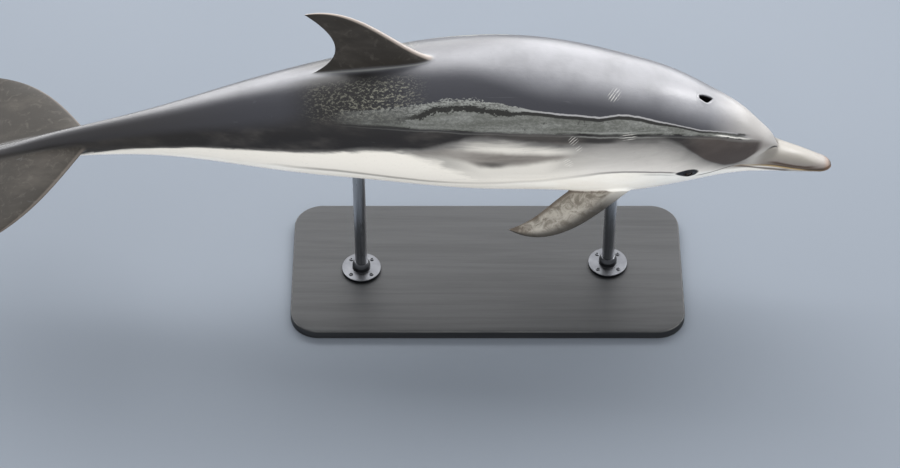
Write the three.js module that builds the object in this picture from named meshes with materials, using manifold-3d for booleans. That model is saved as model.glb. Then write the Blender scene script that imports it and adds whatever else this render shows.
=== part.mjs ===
// A leaping striped dolphin at life size, held up by a plain display stand.
// Millimetres. +X is the way the dolphin swims, -Y is its right side, +Z is up, and the floor is z = 0.
//
// A station is a distance along the animal's axis from the tip of the beak. At each station the body
// has an oval section: so high above the axis, so deep below it, and so wide to each side. The beak has
// sections of its own, which the forehead swells out of. The axis is a curve set by its slope, and the
// sections roll a little about it, because the animal is arched and twists as it leaps.
import * as THREE from 'three';
import { mergeVertices } from 'three/addons/utils/BufferGeometryUtils.js';
import Module from 'manifold-3d';

const wasm = await Module();
wasm.setup();

// ---- Driving dimensions ------------------------------------------------------------------------------

const GAP = 0.3; // between two pieces that touch
const HALF_GAP = GAP / 2;

// Where the beak tip is, which puts the whole model over the origin and the belly over the stand.
const BEAK_TIP = new THREE.Vector3(1015.4, -1, 380);

// Stations where the named parts of the body meet.
const TIP = 0;
const FOREHEAD = 138;
const MOUTH_CORNER = 262;
const NECK = 470;
const LOIN = 860;
const TAIL_ROOT = 1250;
const NOTCH = 2048;

// The axis: slope in degrees, nose down negative, and roll in degrees, back towards the right positive.
const SLOPE = [
  [0, -15], [300, -15.5], [480, -13.5], [700, -6.5], [900, 0.5],
  [1100, 4.6], [1350, 5.6], [1600, 8], [1800, 11], [2060, 12.5],
];
const ROLL = [
  [0, 7.5], [350, 8], [540, 3.8], [940, 2.8], [1160, -2], [1300, -3], [1700, 2], [2060, 4],
];

// Body sections: station, height above the axis, depth below it, half width.
const BODY = [
  [90, 4, 22, 22], [140, 27, 30, 29], [170, 60, 35, 41], [200, 82, 40, 54], [260, 120, 46, 78],
  [340, 142, 74, 111], [430, 161, 129, 138], [540, 169, 164, 158], [680, 181, 172, 172],
  [830, 186, 183, 174], [980, 176, 176, 162], [1130, 154, 154, 140], [1290, 130, 130, 112],
  [1450, 100, 100, 76], [1610, 68, 68, 45], [1760, 48, 47, 28], [1880, 34, 32, 24], [1980, 18, 17, 24],
  [2060, 8, 8, 22],
];
const BODY_SQUARENESS = 2.05; // 2 is an ellipse, more is squarer

// Beak sections, in the same order, and how far back its tip is rounded.
const BEAK = [
  [0, 12, 13, 18], [30, 15, 16, 23.5], [80, 25, 28, 30], [140, 31, 39, 38], [200, 42, 49, 50], [300, 55, 54, 72],
];
const BEAK_SQUARENESS = 2.2;
const BEAK_ROUNDING = 28;
const FOREHEAD_CREASE = 4; // how softly the forehead and the beak run together
const FOREHEAD_START = [60, 100]; // where the forehead's sections come in
const BEAK_END = [240, 300]; // where the beak's sections have gone
const TAIL_ROUNDING = 50;

// The mouth line: station, height above the axis. Past the corner of the mouth it is a fold towards the eye.
const MOUTH = [
  [0, 3], [30, 1.5], [65, -0.5], [105, 1], [145, 5.5], [185, 9.8], [216, 15.7], [242, 18.5], [262, 16.8],
  [284, 10.5], [307, 3.8], [335, -0.5],
];
const JAW_CLEARANCE = 5; // how far outside the skin the head's space for the jaw is cut
const STEEPEST_MOUTH = 0.9; // the sine of the largest angle the mouth line may have on a section
const MOUTH_PASSES = 6; // rounds of finding the mouth's angle from its height

// Eyes: the ball sits mostly inside the head. The angle is up from the animal's side.
const EYE = { station: 366, angle: 5.2, radius: 13.5, depth: 11 };

// Fins: the four points of a Bezier curve for each edge, then how thick the fin is at root and tip.
// Back fin: station, height above the axis.
const DORSAL_FIN = {
  lead: [[943, 173], [1035, 195], [1091, 338], [1231, 312]],
  trail: [[1264, 124], [1142.5, 173], [1154, 240], [1231, 312]],
  rootThickness: 38,
  tipThickness: 8,
};
// Tail flukes: station, distance out from the axis. They droop towards their tips.
const FLUKE = {
  lead: [[1775, 0], [1850, 110], [1910, 225], [2062, 272]],
  trail: [[2030, 0], [2070, 70], [2005, 165], [2062, 272]],
  rootThickness: 26,
  tipThickness: 6,
};
const FLUKE_DROOP = 14;
// Flippers: distance along the span from the root, distance forward of its middle line.
const FLIPPER = {
  lead: [[-75, 20], [20, 40], [170, 102], [243, -15]],
  trail: [[10, -48], [130, -45], [150, -2], [243, -15]],
  rootThickness: 26,
  tipThickness: 7,
};
// The flipper's root and directions as forward, outward and upward parts of the body's own axes.
const FLIPPER_STATION = 540;
const FLIPPER_ROOT = [0, 127.8, -99.8];
const FLIPPER_SPAN = [-0.829, 0.336, -0.447];
const FLIPPER_CHORD = [0.398, 0.916, -0.05];
const FIN_EDGE = 0.8; // half the thickness of a fin's trailing edge
const FIN_EDGE_START = 0.05; // the part of its width, from the front, over which that comes in
const FIN_TIP_POWER = 6; // how suddenly a fin thins out at its tip

// Display stand: a flat base under the centre of mass, and two short rods up to the belly.
const BASE = { centre: 200, length: 960, width: 430, thickness: 24, corner: 70, chamfer: 3 };
const ROD_STATIONS = { front: 500, rear: 1160 };
const ROD_RADIUS = 15;
const FOOT = { radius: 48, height: 8, hubRadius: 22, hubHeight: 22 };
const CUP = { radius: 27, height: 30, rim: 4 };

// Facets round the body, round each fin and along it, and round the stand's turned parts and corners.
const BODY_FACETS = 32;
const JAW_FACETS = 13;
const FIN_CHORD_FACETS = 8;
const FIN_SPAN_FACETS = 13;
const EYE_FACETS = 16;
const TURNED_FACETS = 28;
const CORNER_FACETS = 8;
// Rings along each part of the body, and in its two rounded ends.
const RINGS = { beak: 7, head: 15, thorax: 10, abdomen: 10, tail: 17, end: 5 };

// Paint and finish of each material.
const FINISH = {
  cape: { color: 0x4b4743, roughness: 0.35, metalness: 0 },
  flank: { color: 0x8a8784, roughness: 0.35, metalness: 0 },
  belly: { color: 0xd9d0c2, roughness: 0.4, metalness: 0 },
  fin: { color: 0x3a3531, roughness: 0.4, metalness: 0 },
  eye: { color: 0x16110e, roughness: 0.08, metalness: 0 },
  base: { color: 0x34373b, roughness: 0.5, metalness: 0 },
  steel: { color: 0xb4b7ba, roughness: 0.3, metalness: 1 },
};

// ---- Curves and sections -----------------------------------------------------------------------------

const radians = THREE.MathUtils.degToRad;

// A smooth curve through one column of a table: the natural cubic spline over its first column.
function spline(rows, column) {
  const x = rows.map((row) => row[0]);
  const y = rows.map((row) => row[column]);
  const last = x.length - 1;
  const bend = new Array(last + 1).fill(0);
  const carry = new Array(last + 1).fill(0);
  for (let i = 1; i < last; i++) {
    const before = x[i] - x[i - 1];
    const after = x[i + 1] - x[i];
    const pivot = 2 * (before + after) - before * carry[i - 1];
    const turn = 6 * ((y[i + 1] - y[i]) / after - (y[i] - y[i - 1]) / before);
    carry[i] = after / pivot;
    bend[i] = (turn - before * bend[i - 1]) / pivot;
  }
  for (let i = last - 1; i > 0; i--) bend[i] -= carry[i] * bend[i + 1];
  return (value) => {
    const at = THREE.MathUtils.clamp(value, x[0], x[last]);
    const i = Math.min(x.filter((knot) => knot < at).length, last) || 1;
    const step = x[i] - x[i - 1];
    const from = (x[i] - at) / step;
    const to = 1 - from;
    const curved = (from ** 3 - from) * bend[i - 1] + (to ** 3 - to) * bend[i];
    return from * y[i - 1] + to * y[i] + (curved * step * step) / 6;
  };
}

const slopeAt = spline(SLOPE, 1);
const rollAt = spline(ROLL, 1);
const bodyAt = [1, 2, 3].map((column) => spline(BODY, column));
const beakAt = [1, 2, 3].map((column) => spline(BEAK, column));
const mouthAt = spline(MOUTH, 1);

// The axis as a row of points, each a short step further back along the slope.
const AXIS_STEP = 2;
const AXIS_END = 2100;
const axisPoints = [new THREE.Vector3()];
for (let station = 0; station < AXIS_END; station += AXIS_STEP) {
  const slope = radians(slopeAt(station + AXIS_STEP / 2));
  const step = new THREE.Vector3(-AXIS_STEP * Math.cos(slope), 0, -AXIS_STEP * Math.sin(slope));
  axisPoints.push(step.add(axisPoints.at(-1)));
}

// The body's own axes at a station: forward along the axis, out to the animal's right, and up its back.
function bodyAxes(station) {
  const index = Math.min(Math.floor(station / AXIS_STEP), axisPoints.length - 2);
  const centre = new THREE.Vector3()
    .lerpVectors(axisPoints[index], axisPoints[index + 1], station / AXIS_STEP - index)
    .add(BEAK_TIP);
  const slope = radians(slopeAt(station));
  const roll = radians(rollAt(station));
  const forward = new THREE.Vector3(Math.cos(slope), 0, Math.sin(slope));
  const right = new THREE.Vector3(0, -1, 0).applyAxisAngle(forward, roll);
  const up = new THREE.Vector3(-Math.sin(slope), 0, Math.cos(slope)).applyAxisAngle(forward, roll);
  return { centre, forward, right, up };
}

// A point given by how far forward, to the right and up it is from the axis at a station.
function bodyPoint(station, ahead, right, up) {
  const axes = bodyAxes(station);
  return axes.centre
    .addScaledVector(axes.forward, ahead)
    .addScaledVector(axes.right, right)
    .addScaledVector(axes.up, up);
}

const smoothMax = (a, b, softness) => 0.5 * (a + b + Math.hypot(a - b, softness));

// How far out the outline of a section is at an angle from its right side, turning over the back.
function ovalRadius(above, below, half, angle, squareness) {
  const upright = Math.sin(angle) >= 0 ? above : below;
  const across = Math.abs(Math.cos(angle) / half) ** squareness;
  const along = Math.abs(Math.sin(angle) / upright) ** squareness;
  return (across + along) ** (-1 / squareness);
}

// Distance from the axis to the skin.
function skinRadius(station, angle) {
  const [above, below, half] = bodyAt.map((column) => column(station));
  const body = ovalRadius(above, below, half, angle, BODY_SQUARENESS);
  const [beakAbove, beakBelow, beakHalf] = beakAt.map((column) => column(station));
  const tip = 1 - Math.min(station, BEAK_ROUNDING) / BEAK_ROUNDING;
  const oval = ovalRadius(beakAbove, beakBelow, beakHalf, angle, BEAK_SQUARENESS);
  const beak = oval * Math.sqrt(1 - tip * tip);
  const both = smoothMax(beak, body, FOREHEAD_CREASE);
  const begun = THREE.MathUtils.lerp(beak, both, THREE.MathUtils.smoothstep(station, ...FOREHEAD_START));
  const whole = THREE.MathUtils.lerp(begun, body, THREE.MathUtils.smoothstep(station, ...BEAK_END));
  const end = Math.max(0, 1 - (NOTCH - station) / TAIL_ROUNDING);
  return whole * Math.sqrt(Math.max(0, 1 - end * end));
}

function skinPoint(station, angle, extra = 0) {
  const radius = skinRadius(station, angle) + extra;
  return bodyPoint(station, 0, radius * Math.cos(angle), radius * Math.sin(angle));
}

// ---- Closed meshes -----------------------------------------------------------------------------------

// Points and triangles as a solid. Triangles that close up to a line are dropped, and a mesh that is
// inside out is turned.
function solid(points, triangles) {
  const spread = new THREE.BufferGeometry().setFromPoints(points);
  spread.setIndex(triangles.flat());
  const merged = mergeVertices(spread, 1e-3);
  const position = merged.attributes.position;
  const corner = (index) => new THREE.Vector3().fromBufferAttribute(position, index);
  const faces = [];
  let volume = 0;
  for (let i = 0; i < merged.index.count; i += 3) {
    const [a, b, c] = [0, 1, 2].map((step) => merged.index.getX(i + step));
    if (a === b || b === c || c === a) continue;
    faces.push([a, b, c]);
    volume += corner(a).dot(corner(b).cross(corner(c)));
  }
  const triVerts = new Uint32Array(faces.flatMap(([a, b, c]) => (volume > 0 ? [a, b, c] : [a, c, b])));
  return new wasm.Manifold(new wasm.Mesh({ numProp: 3, vertProperties: position.array, triVerts }));
}

// A three.js geometry as a solid.
function solidOf(geometry) {
  const plain = new THREE.BufferGeometry().setAttribute('position', geometry.getAttribute('position'));
  if (geometry.index) plain.setIndex(geometry.index);
  const merged = mergeVertices(plain, 1e-3);
  const triVerts = new Uint32Array(merged.index.array);
  return new wasm.Manifold(
    new wasm.Mesh({ numProp: 3, vertProperties: merged.attributes.position.array, triVerts }),
  );
}

// A skin over a row of closed rings with equal numbers of points, and a fan over each end.
function loft(rings) {
  const size = rings[0].length;
  const points = rings.flat();
  const triangles = [];
  for (let ring = 0; ring + 1 < rings.length; ring++) {
    for (let i = 0; i < size; i++) {
      const a = ring * size + i;
      const b = ring * size + ((i + 1) % size);
      triangles.push([a, b, b + size], [a, b + size, a + size]);
    }
  }
  const last = (rings.length - 1) * size;
  for (const [start, ring] of [[0, rings[0]], [last, rings.at(-1)]]) {
    const middle = ring.reduce((sum, point) => sum.add(point), new THREE.Vector3()).divideScalar(size);
    const hub = points.push(middle) - 1;
    for (let i = 0; i < size; i++) {
      const a = start + i;
      const b = start + ((i + 1) % size);
      triangles.push(start === 0 ? [hub, b, a] : [hub, a, b]);
    }
  }
  return solid(points, triangles);
}

// ---- The body and its parts --------------------------------------------------------------------------

const evenly = (from, to, steps) => Array.from({ length: steps + 1 }, (_, i) => from + ((to - from) * i) / steps);

// Steps that crowd towards the first value, for a rounded end.
const crowded = (from, to, steps) =>
  evenly(0, Math.PI / 2, steps).map((angle) => from + (to - from) * (1 - Math.cos(angle)));

// The stations of each length of the body, with half a gap left at each joint.
const STATIONS = {
  beak: [
    ...crowded(TIP, BEAK_ROUNDING, RINGS.end),
    ...evenly(BEAK_ROUNDING, FOREHEAD - HALF_GAP, RINGS.beak).slice(1),
  ],
  head: evenly(FOREHEAD + HALF_GAP, NECK - HALF_GAP, RINGS.head),
  thorax: evenly(NECK + HALF_GAP, LOIN - HALF_GAP, RINGS.thorax),
  abdomen: evenly(LOIN + HALF_GAP, TAIL_ROOT - HALF_GAP, RINGS.abdomen),
  tail: [
    ...evenly(TAIL_ROOT + HALF_GAP, NOTCH - TAIL_ROUNDING, RINGS.tail),
    ...crowded(NOTCH, NOTCH - TAIL_ROUNDING, RINGS.end).reverse().slice(1),
  ],
};

const turn = (facet) => (2 * Math.PI * facet) / BODY_FACETS;
const bodyRing = (station, extra) =>
  Array.from({ length: BODY_FACETS }, (_, facet) => skinPoint(station, turn(facet), extra));
const bodyLength = (stations, extra = 0) => loft(stations.map((station) => bodyRing(station, extra)));

// The whole body a gap's width fatter, which cuts the fins, eyes and rods off where they meet it.
const bodyCutter = bodyLength(Object.values(STATIONS).flat(), GAP);

// The angle at which the skin is at a height above the axis.
function angleAtHeight(station, height) {
  let angle = 0;
  for (let pass = 0; pass < MOUTH_PASSES; pass++) {
    const sine = height / Math.max(skinRadius(station, angle), 1e-6);
    angle = Math.asin(THREE.MathUtils.clamp(sine, -STEEPEST_MOUTH, STEEPEST_MOUTH));
  }
  return angle;
}

// The part of a section above the mouth line, or below it, as a ring closed along the mouth.
function jawRing(station, side, lift, extra) {
  const angle = angleAtHeight(station, mouthAt(station) + lift);
  const [from, to] = side > 0 ? [angle, Math.PI - angle] : [Math.PI - angle, 2 * Math.PI + angle];
  return evenly(from, to, JAW_FACETS).map((at) => skinPoint(station, at, extra));
}

function beakUpper() {
  return loft(STATIONS.beak.map((station) => jawRing(station, 1, HALF_GAP, 0)));
}

// The lower jaw runs back under the head to the corner of the mouth.
function lowerJaw() {
  const stations = [...STATIONS.beak, ...STATIONS.head].filter((station) => station < MOUTH_CORNER);
  return loft(stations.map((station) => jawRing(station, -1, -HALF_GAP, 0)));
}

function eyeCentre(side) {
  const angle = side > 0 ? radians(EYE.angle) : Math.PI - radians(EYE.angle);
  return skinPoint(EYE.station, angle, -EYE.depth);
}

function eyeball(side, extra = 0) {
  const ball = new THREE.SphereGeometry(EYE.radius + extra, EYE_FACETS, EYE_FACETS / 2);
  return solidOf(ball.translate(...eyeCentre(side)));
}

function head() {
  const under = [...STATIONS.beak, ...STATIONS.head]
    .filter((station) => station > BEAK_ROUNDING && station < MOUTH_CORNER);
  const behind = under.at(-1) + GAP;
  const jawSpace = loft([...under, behind].map((station) => jawRing(station, -1, HALF_GAP, JAW_CLEARANCE)));
  return bodyLength(STATIONS.head)
    .subtract(jawSpace)
    .subtract(eyeball(1, GAP))
    .subtract(eyeball(-1, GAP));
}

// Half the thickness of a wing section one unit thick, at a fraction of its width back from the front.
function wingSection(fraction) {
  const x = fraction;
  return 5 * (0.2969 * Math.sqrt(x) - 0.126 * x - 0.3516 * x ** 2 + 0.2843 * x ** 3 - 0.1036 * x ** 4);
}

// A fin from its root to a pointed tip. place turns a point of the outline and a thickness to one side
// of it into a point of the model.
function fin(shape, place) {
  const [lead, trail] = [shape.lead, shape.trail].map(
    (points) => new THREE.CubicBezierCurve(...points.map((point) => new THREE.Vector2(...point))),
  );
  const across = evenly(0, Math.PI, FIN_CHORD_FACETS).map((angle) => (1 - Math.cos(angle)) / 2);
  const round = [...across.map((x) => [x, 1]), ...across.slice(1).reverse().map((x) => [x, -1])];
  const rings = evenly(0, 1, FIN_SPAN_FACETS).map((along) => {
    const thickness = THREE.MathUtils.lerp(shape.rootThickness, shape.tipThickness, along);
    const full = thickness * Math.sqrt(1 - along ** FIN_TIP_POWER);
    const edge = along < 1 ? FIN_EDGE : 0;
    const [front, back] = [lead.getPoint(along), trail.getPoint(along)];
    return round.map(([fraction, side]) => {
      const at = front.clone().lerp(back, fraction);
      const thick = full * wingSection(fraction) + edge * Math.min(1, fraction / FIN_EDGE_START);
      return place(at.x, at.y, side * thick);
    });
  });
  return loft(rings).subtract(bodyCutter);
}

const dorsalFin = () => fin(DORSAL_FIN, (station, height, side) => bodyPoint(station, 0, side, height));

function fluke(side) {
  const reach = FLUKE.lead.at(-1)[1];
  const place = (station, out, thick) =>
    bodyPoint(station, 0, side * out, thick - FLUKE_DROOP * (out / reach) ** 2);
  return fin(FLUKE, place);
}

function flipper(side) {
  const span = new THREE.Vector3(...FLIPPER_SPAN).normalize();
  const chord = new THREE.Vector3(...FLIPPER_CHORD).projectOnPlane(span).normalize();
  const normal = new THREE.Vector3().crossVectors(span, chord);
  return fin(FLIPPER, (out, ahead, thick) => {
    const local = new THREE.Vector3(...FLIPPER_ROOT)
      .addScaledVector(span, out)
      .addScaledVector(chord, ahead)
      .addScaledVector(normal, thick);
    return bodyPoint(FLIPPER_STATION, local.x, side * local.y, local.z);
  });
}

// ---- The display stand -------------------------------------------------------------------------------

function standBase() {
  const { length, width, corner, chamfer, thickness, centre } = BASE;
  const [x, y] = [length / 2 - chamfer, width / 2 - chamfer];
  const outline = new THREE.Shape()
    .moveTo(x, -y + corner)
    .absarc(x - corner, y - corner, corner, 0, Math.PI / 2)
    .absarc(-x + corner, y - corner, corner, Math.PI / 2, Math.PI)
    .absarc(-x + corner, -y + corner, corner, Math.PI, 1.5 * Math.PI)
    .absarc(x - corner, -y + corner, corner, 1.5 * Math.PI, 2 * Math.PI);
  const plate = new THREE.ExtrudeGeometry(outline, {
    depth: thickness - 2 * chamfer,
    bevelThickness: chamfer,
    bevelSize: chamfer,
    bevelSegments: 1,
    curveSegments: CORNER_FACETS,
  });
  return solidOf(plate.translate(centre, 0, chamfer));
}

// A solid turned about a vertical line under the axis at a station. The profile's points are radius, height.
function turned(station, profile) {
  const points = profile.map((point) => new THREE.Vector2(...point));
  const lathe = new THREE.LatheGeometry(points, TURNED_FACETS);
  lathe.rotateX(Math.PI / 2).translate(bodyAxes(station).centre.x, 0, 0);
  return solidOf(lathe);
}

const bellyHeight = (station) => skinPoint(station, -Math.PI / 2).z;
const footTop = BASE.thickness + GAP + FOOT.height + FOOT.hubHeight;

// The round foot on the base, with a hub that narrows to the rod.
function standFoot(station) {
  const bottom = BASE.thickness + GAP;
  return turned(station, [
    [0, bottom],
    [FOOT.radius, bottom],
    [FOOT.radius, bottom + FOOT.height],
    [FOOT.hubRadius, bottom + FOOT.height],
    [ROD_RADIUS, footTop],
    [0, footTop],
  ]);
}

function standRod(station) {
  const top = bellyHeight(station) - CUP.height - GAP;
  return turned(station, [[0, footTop + GAP], [ROD_RADIUS, footTop + GAP], [ROD_RADIUS, top], [0, top]]);
}

// The cup flares from the rod and is cut to the belly that rests in it.
function standCup(station) {
  const belly = bellyHeight(station);
  const bottom = belly - CUP.height;
  return turned(station, [
    [0, bottom],
    [ROD_RADIUS, bottom],
    [CUP.radius, belly - CUP.rim],
    [CUP.radius, belly + CUP.radius],
    [0, belly + CUP.radius],
  ]).subtract(bodyCutter);
}

// ---- The model ---------------------------------------------------------------------------------------

const dolphin = new THREE.Group();

// Adds a solid to the model as a named mesh with one of the finishes.
function add(name, finish, made) {
  const { vertProperties, triVerts } = made.getMesh();
  const geometry = new THREE.BufferGeometry();
  geometry.setAttribute('position', new THREE.BufferAttribute(vertProperties, 3));
  geometry.setIndex(new THREE.BufferAttribute(triVerts, 1));
  geometry.computeVertexNormals();
  const mesh = new THREE.Mesh(geometry, new THREE.MeshStandardMaterial(FINISH[finish]));
  mesh.name = name;
  dolphin.add(mesh);
}

add('beak_upper', 'flank', beakUpper());
add('lower_jaw', 'belly', lowerJaw());
add('head', 'cape', head());
add('thorax', 'flank', bodyLength(STATIONS.thorax));
add('abdomen', 'flank', bodyLength(STATIONS.abdomen));
add('tail_stock', 'flank', bodyLength(STATIONS.tail));
add('dorsal_fin', 'fin', dorsalFin());
for (const [name, side] of [['right', 1], ['left', -1]]) {
  add(`eye_${name}`, 'eye', eyeball(side));
  add(`flipper_${name}`, 'fin', flipper(side));
  add(`fluke_${name}`, 'fin', fluke(side));
}
add('stand_base', 'base', standBase());
for (const [name, station] of Object.entries(ROD_STATIONS)) {
  add(`stand_foot_${name}`, 'steel', standFoot(station));
  add(`stand_rod_${name}`, 'steel', standRod(station));
  add(`stand_cup_${name}`, 'steel', standCup(station));
}

export default dolphin;
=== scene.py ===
"""The finished surface of a leaping striped dolphin on its display stand.

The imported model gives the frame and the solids. Over the solids of flesh this file lays one smooth skin, with
the mouth, the lids and the blowhole worked into it and the fins grown out of it. It sets an eye in each socket,
makes the stand's board, feet, rods and cups, and sets up a pale studio. Every surface is a grid of points,
worked out with numpy from a formula of two parameters. Lengths are in metres.

  station   distance along the animal's axis from the tip of the beak
  angle     direction round the axis: 0 is the right side, 90 the back, 180 the left side, -90 the belly
  ring      the points round a section of the body, or round a fin, an eye or the blowhole
"""

import math
from functools import partialmethod, reduce
from types import SimpleNamespace

import bpy
import numpy as np
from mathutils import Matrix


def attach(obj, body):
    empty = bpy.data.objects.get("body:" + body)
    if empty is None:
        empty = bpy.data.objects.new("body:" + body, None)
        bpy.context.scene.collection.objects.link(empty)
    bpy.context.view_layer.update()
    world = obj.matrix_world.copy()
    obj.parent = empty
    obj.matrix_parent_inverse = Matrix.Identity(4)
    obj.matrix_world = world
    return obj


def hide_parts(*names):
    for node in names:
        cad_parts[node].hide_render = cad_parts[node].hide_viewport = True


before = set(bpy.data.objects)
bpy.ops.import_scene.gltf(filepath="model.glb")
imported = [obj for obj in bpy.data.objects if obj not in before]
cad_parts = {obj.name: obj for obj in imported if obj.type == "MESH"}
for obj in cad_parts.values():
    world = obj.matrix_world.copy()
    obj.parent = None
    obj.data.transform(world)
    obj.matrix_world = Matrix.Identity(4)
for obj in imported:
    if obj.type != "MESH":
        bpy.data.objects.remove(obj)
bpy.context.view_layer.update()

bl_info = {
    "name": "Leaping Striped Dolphin",
    "version": (1, 0, 0),
    "blender": (4, 5, 0),
    "location": "3D View > Sidebar > Dolphin",
    "description": "Builds a life-size striped dolphin and its display stand over the packed model",
    "category": "Object",
}

# ---- Sizes of the body ---------------------------------------------------------------------------------------

BEAK_TIP = np.array([1.0154, -0.001, 0.380])
NOTCH = 2.048

# Station and slope of the axis in degrees, nose down negative.
SLOPE = np.array([
    (0, -15), (0.300, -15.5), (0.480, -13.5), (0.700, -6.5), (0.900, 0.5),
    (1.100, 4.6), (1.350, 5.6), (1.600, 8), (1.800, 11), (2.060, 12.5),
])
# Station and roll in degrees, back towards the right positive.
ROLL = np.array([
    (0, 7.5), (0.350, 8), (0.540, 3.8), (0.940, 2.8), (1.160, -2), (1.300, -3), (1.700, 2), (2.060, 4),
])

# Station, height above the axis, depth below it, half width.
BODY = np.array([
    (0.090, 0.004, 0.022, 0.022), (0.140, 0.027, 0.030, 0.029), (0.170, 0.060, 0.035, 0.041),
    (0.200, 0.082, 0.040, 0.054), (0.260, 0.120, 0.046, 0.078), (0.340, 0.142, 0.074, 0.111),
    (0.430, 0.161, 0.129, 0.138), (0.540, 0.169, 0.164, 0.158), (0.680, 0.181, 0.172, 0.172),
    (0.830, 0.186, 0.183, 0.174), (0.980, 0.176, 0.176, 0.162), (1.130, 0.154, 0.154, 0.140),
    (1.290, 0.130, 0.130, 0.112), (1.450, 0.100, 0.100, 0.076), (1.610, 0.068, 0.068, 0.045),
    (1.760, 0.048, 0.047, 0.028), (1.880, 0.034, 0.032, 0.024), (1.980, 0.018, 0.017, 0.024),
    (2.060, 0.008, 0.008, 0.022),
])
BODY_SQUARENESS = 2.05
BEAK = np.array([
    (0, 0.012, 0.013, 0.018), (0.030, 0.015, 0.016, 0.0235), (0.080, 0.025, 0.028, 0.030),
    (0.140, 0.031, 0.039, 0.038), (0.200, 0.042, 0.049, 0.050), (0.300, 0.055, 0.054, 0.072),
])
BEAK_SQUARENESS = 2.2
BEAK_ROUNDING = 0.028
TAIL_ROUNDING = 0.050
FOREHEAD_CREASE = 0.004
FOREHEAD_START = (0.060, 0.100)
BEAK_END = (0.240, 0.300)

# The mouth line: station, height above the axis. Past the corner it is a faint fold that runs to the eye.
MOUTH = np.array([
    (0, 0.003), (0.030, 0.0015), (0.065, -0.0005), (0.105, 0.001), (0.145, 0.0055), (0.185, 0.0098),
    (0.216, 0.0157), (0.242, 0.0185), (0.262, 0.0168), (0.284, 0.0105), (0.307, 0.0038), (0.335, -0.0005),
])
MOUTH_CORNER = 0.262
FOLD_END = 0.345
FOLD_SHARE = 0.40  # its depth, as a share of the mouth's
# The lips: height over the mouth line, and share of the lips' full height.
LIPS = [(0.0034, 1.0), (-0.0030, 0.6)]
LIP_WIDTH = 0.0026

EYE_STATION = 0.366
EYE_ANGLE = 5.2
EYE_TILT = 14.0  # how far its front corner is raised, in degrees
EYE_RADIUS = 0.0135
EYE_DEPTH = 0.011
LID_GAP = 0.0002
# The folds round the lids: distance as a share of the opening, width, and share of the folds' full depth.
LID_FOLDS = [(1.55, 0.13, 1.0), (2.15, 0.16, 0.6)]
# The lids' edge, ring by ring: share of the opening, and how far it has sunk to the ball.
LID_EDGE = [(0.985, 0.25), (0.965, 0.7), (0.960, 1.0)]
SOCKET_RINGS = 7

# The crease between forehead and beak: its station on top, and how far back it runs for each degree down the side
# from where it turns.
CREASE_START = 0.148
CREASE_SWEEP = 0.00125
CREASE_TURN = 9.0

PATCH_TILT = 5.0  # how far the front end of the eye's dark patch is raised, in degrees

BLOWHOLE_STATION = 0.362
BLOWHOLE_ANGLE = 90.0
# Its four sides: direction in degrees, forward to left, and share of its size out from the middle.
BLOWHOLE_SIDES = np.array([(95.3, 0.57), (-36.4, 0.98), (-104.8, 1.50), (142.9, 1.80)])
BLOWHOLE_SQUARENESS = 4
BLOWHOLE_RINGS = 14
# Its pit, ring by ring: share of the opening, depth, and how black the skin is painted there, as shade in the hollow.
BLOWHOLE_PIT = [
    (0.97, 0.0006, 0.2), (0.93, 0.0018, 0.5), (0.89, 0.0040, 0.8), (0.86, 0.0075, 1.0), (0.80, 0.0120, 1.0),
    (0.66, 0.0170, 1.0), (0.40, 0.0205, 1.0),
]
BLOWHOLE_DEPTH = 0.022

# Under the belly: the slit's station, between the two where it begins and the two where it ends, and its depth and
# half width; the navel's station, depth and half width.
SLIT = {"begins": (1.325, 1.345), "ends": (1.415, 1.435), "depth": 0.0020, "width": 0.0055}
NAVEL = {"station": 0.985, "depth": 0.0018, "width": 0.0110}

# Fins: the four points of a Bezier curve for each edge, and the thickness at root and tip.
# Back fin: station, height above the axis.
DORSAL_FIN = {
    "lead": [(0.943, 0.173), (1.035, 0.195), (1.091, 0.338), (1.231, 0.312)],
    "trail": [(1.264, 0.124), (1.1425, 0.173), (1.154, 0.240), (1.231, 0.312)],
    "thickness": (0.038, 0.008),
}
# Flukes: station, distance out from the axis.
FLUKE = {
    "lead": [(1.775, 0), (1.850, 0.110), (1.910, 0.225), (2.062, 0.272)],
    "trail": [(2.030, 0), (2.070, 0.070), (2.005, 0.165), (2.062, 0.272)],
    "thickness": (0.026, 0.006),
}
FLUKE_DROOP = 0.014
# Flippers: distance out along the span, distance forward of its middle line.
FLIPPER = {
    "lead": [(-0.075, 0.020), (0.020, 0.040), (0.170, 0.102), (0.243, -0.015)],
    "trail": [(0.010, -0.048), (0.130, -0.045), (0.150, -0.002), (0.243, -0.015)],
    "thickness": (0.026, 0.007),
}
FLIPPER_STATION = 0.540
FLIPPER_ROOT = np.array([0, 0.1278, -0.0998])
FLIPPER_SPAN = np.array([-0.829, 0.336, -0.447])
FLIPPER_CHORD = np.array([0.398, 0.916, -0.05])
FIN_EDGE = 0.0008
NOSE_SHARE = 0.03  # how much of a fin's width its rounded front and back edges take
FIN_SAMPLES = 240
TIP_CROWDING = 1.5  # how far a fin's rings crowd towards its tip

# The display stand.
GAP = 0.0003
BOARD = {"centre": 0.200, "length": 0.960, "width": 0.430, "thickness": 0.024, "corner": 0.070}
ROD_STATIONS = {"front": 0.500, "rear": 1.160}
ROD_RADIUS = 0.015
FOOT = {
    "radius": 0.048, "height": 0.008, "hub_radius": 0.022, "hub_step": 0.012, "hub_height": 0.022, "lip": 0.0015,
}
FOOT_BASE = BOARD["thickness"] + GAP
FOOT_TOP = FOOT_BASE + FOOT["height"] + FOOT["hub_height"]
CUP = {"radius": 0.027, "height": 0.030, "rim": 0.004, "rounding": 0.004, "lip": 0.0012}
PAD_GAP = 0.0002
SCREW_LIP = 0.0006
SMALL_ROUNDING = 0.0008

# ---- Markings, as station and degrees down from the middle of the back ---------------------------------------

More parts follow.
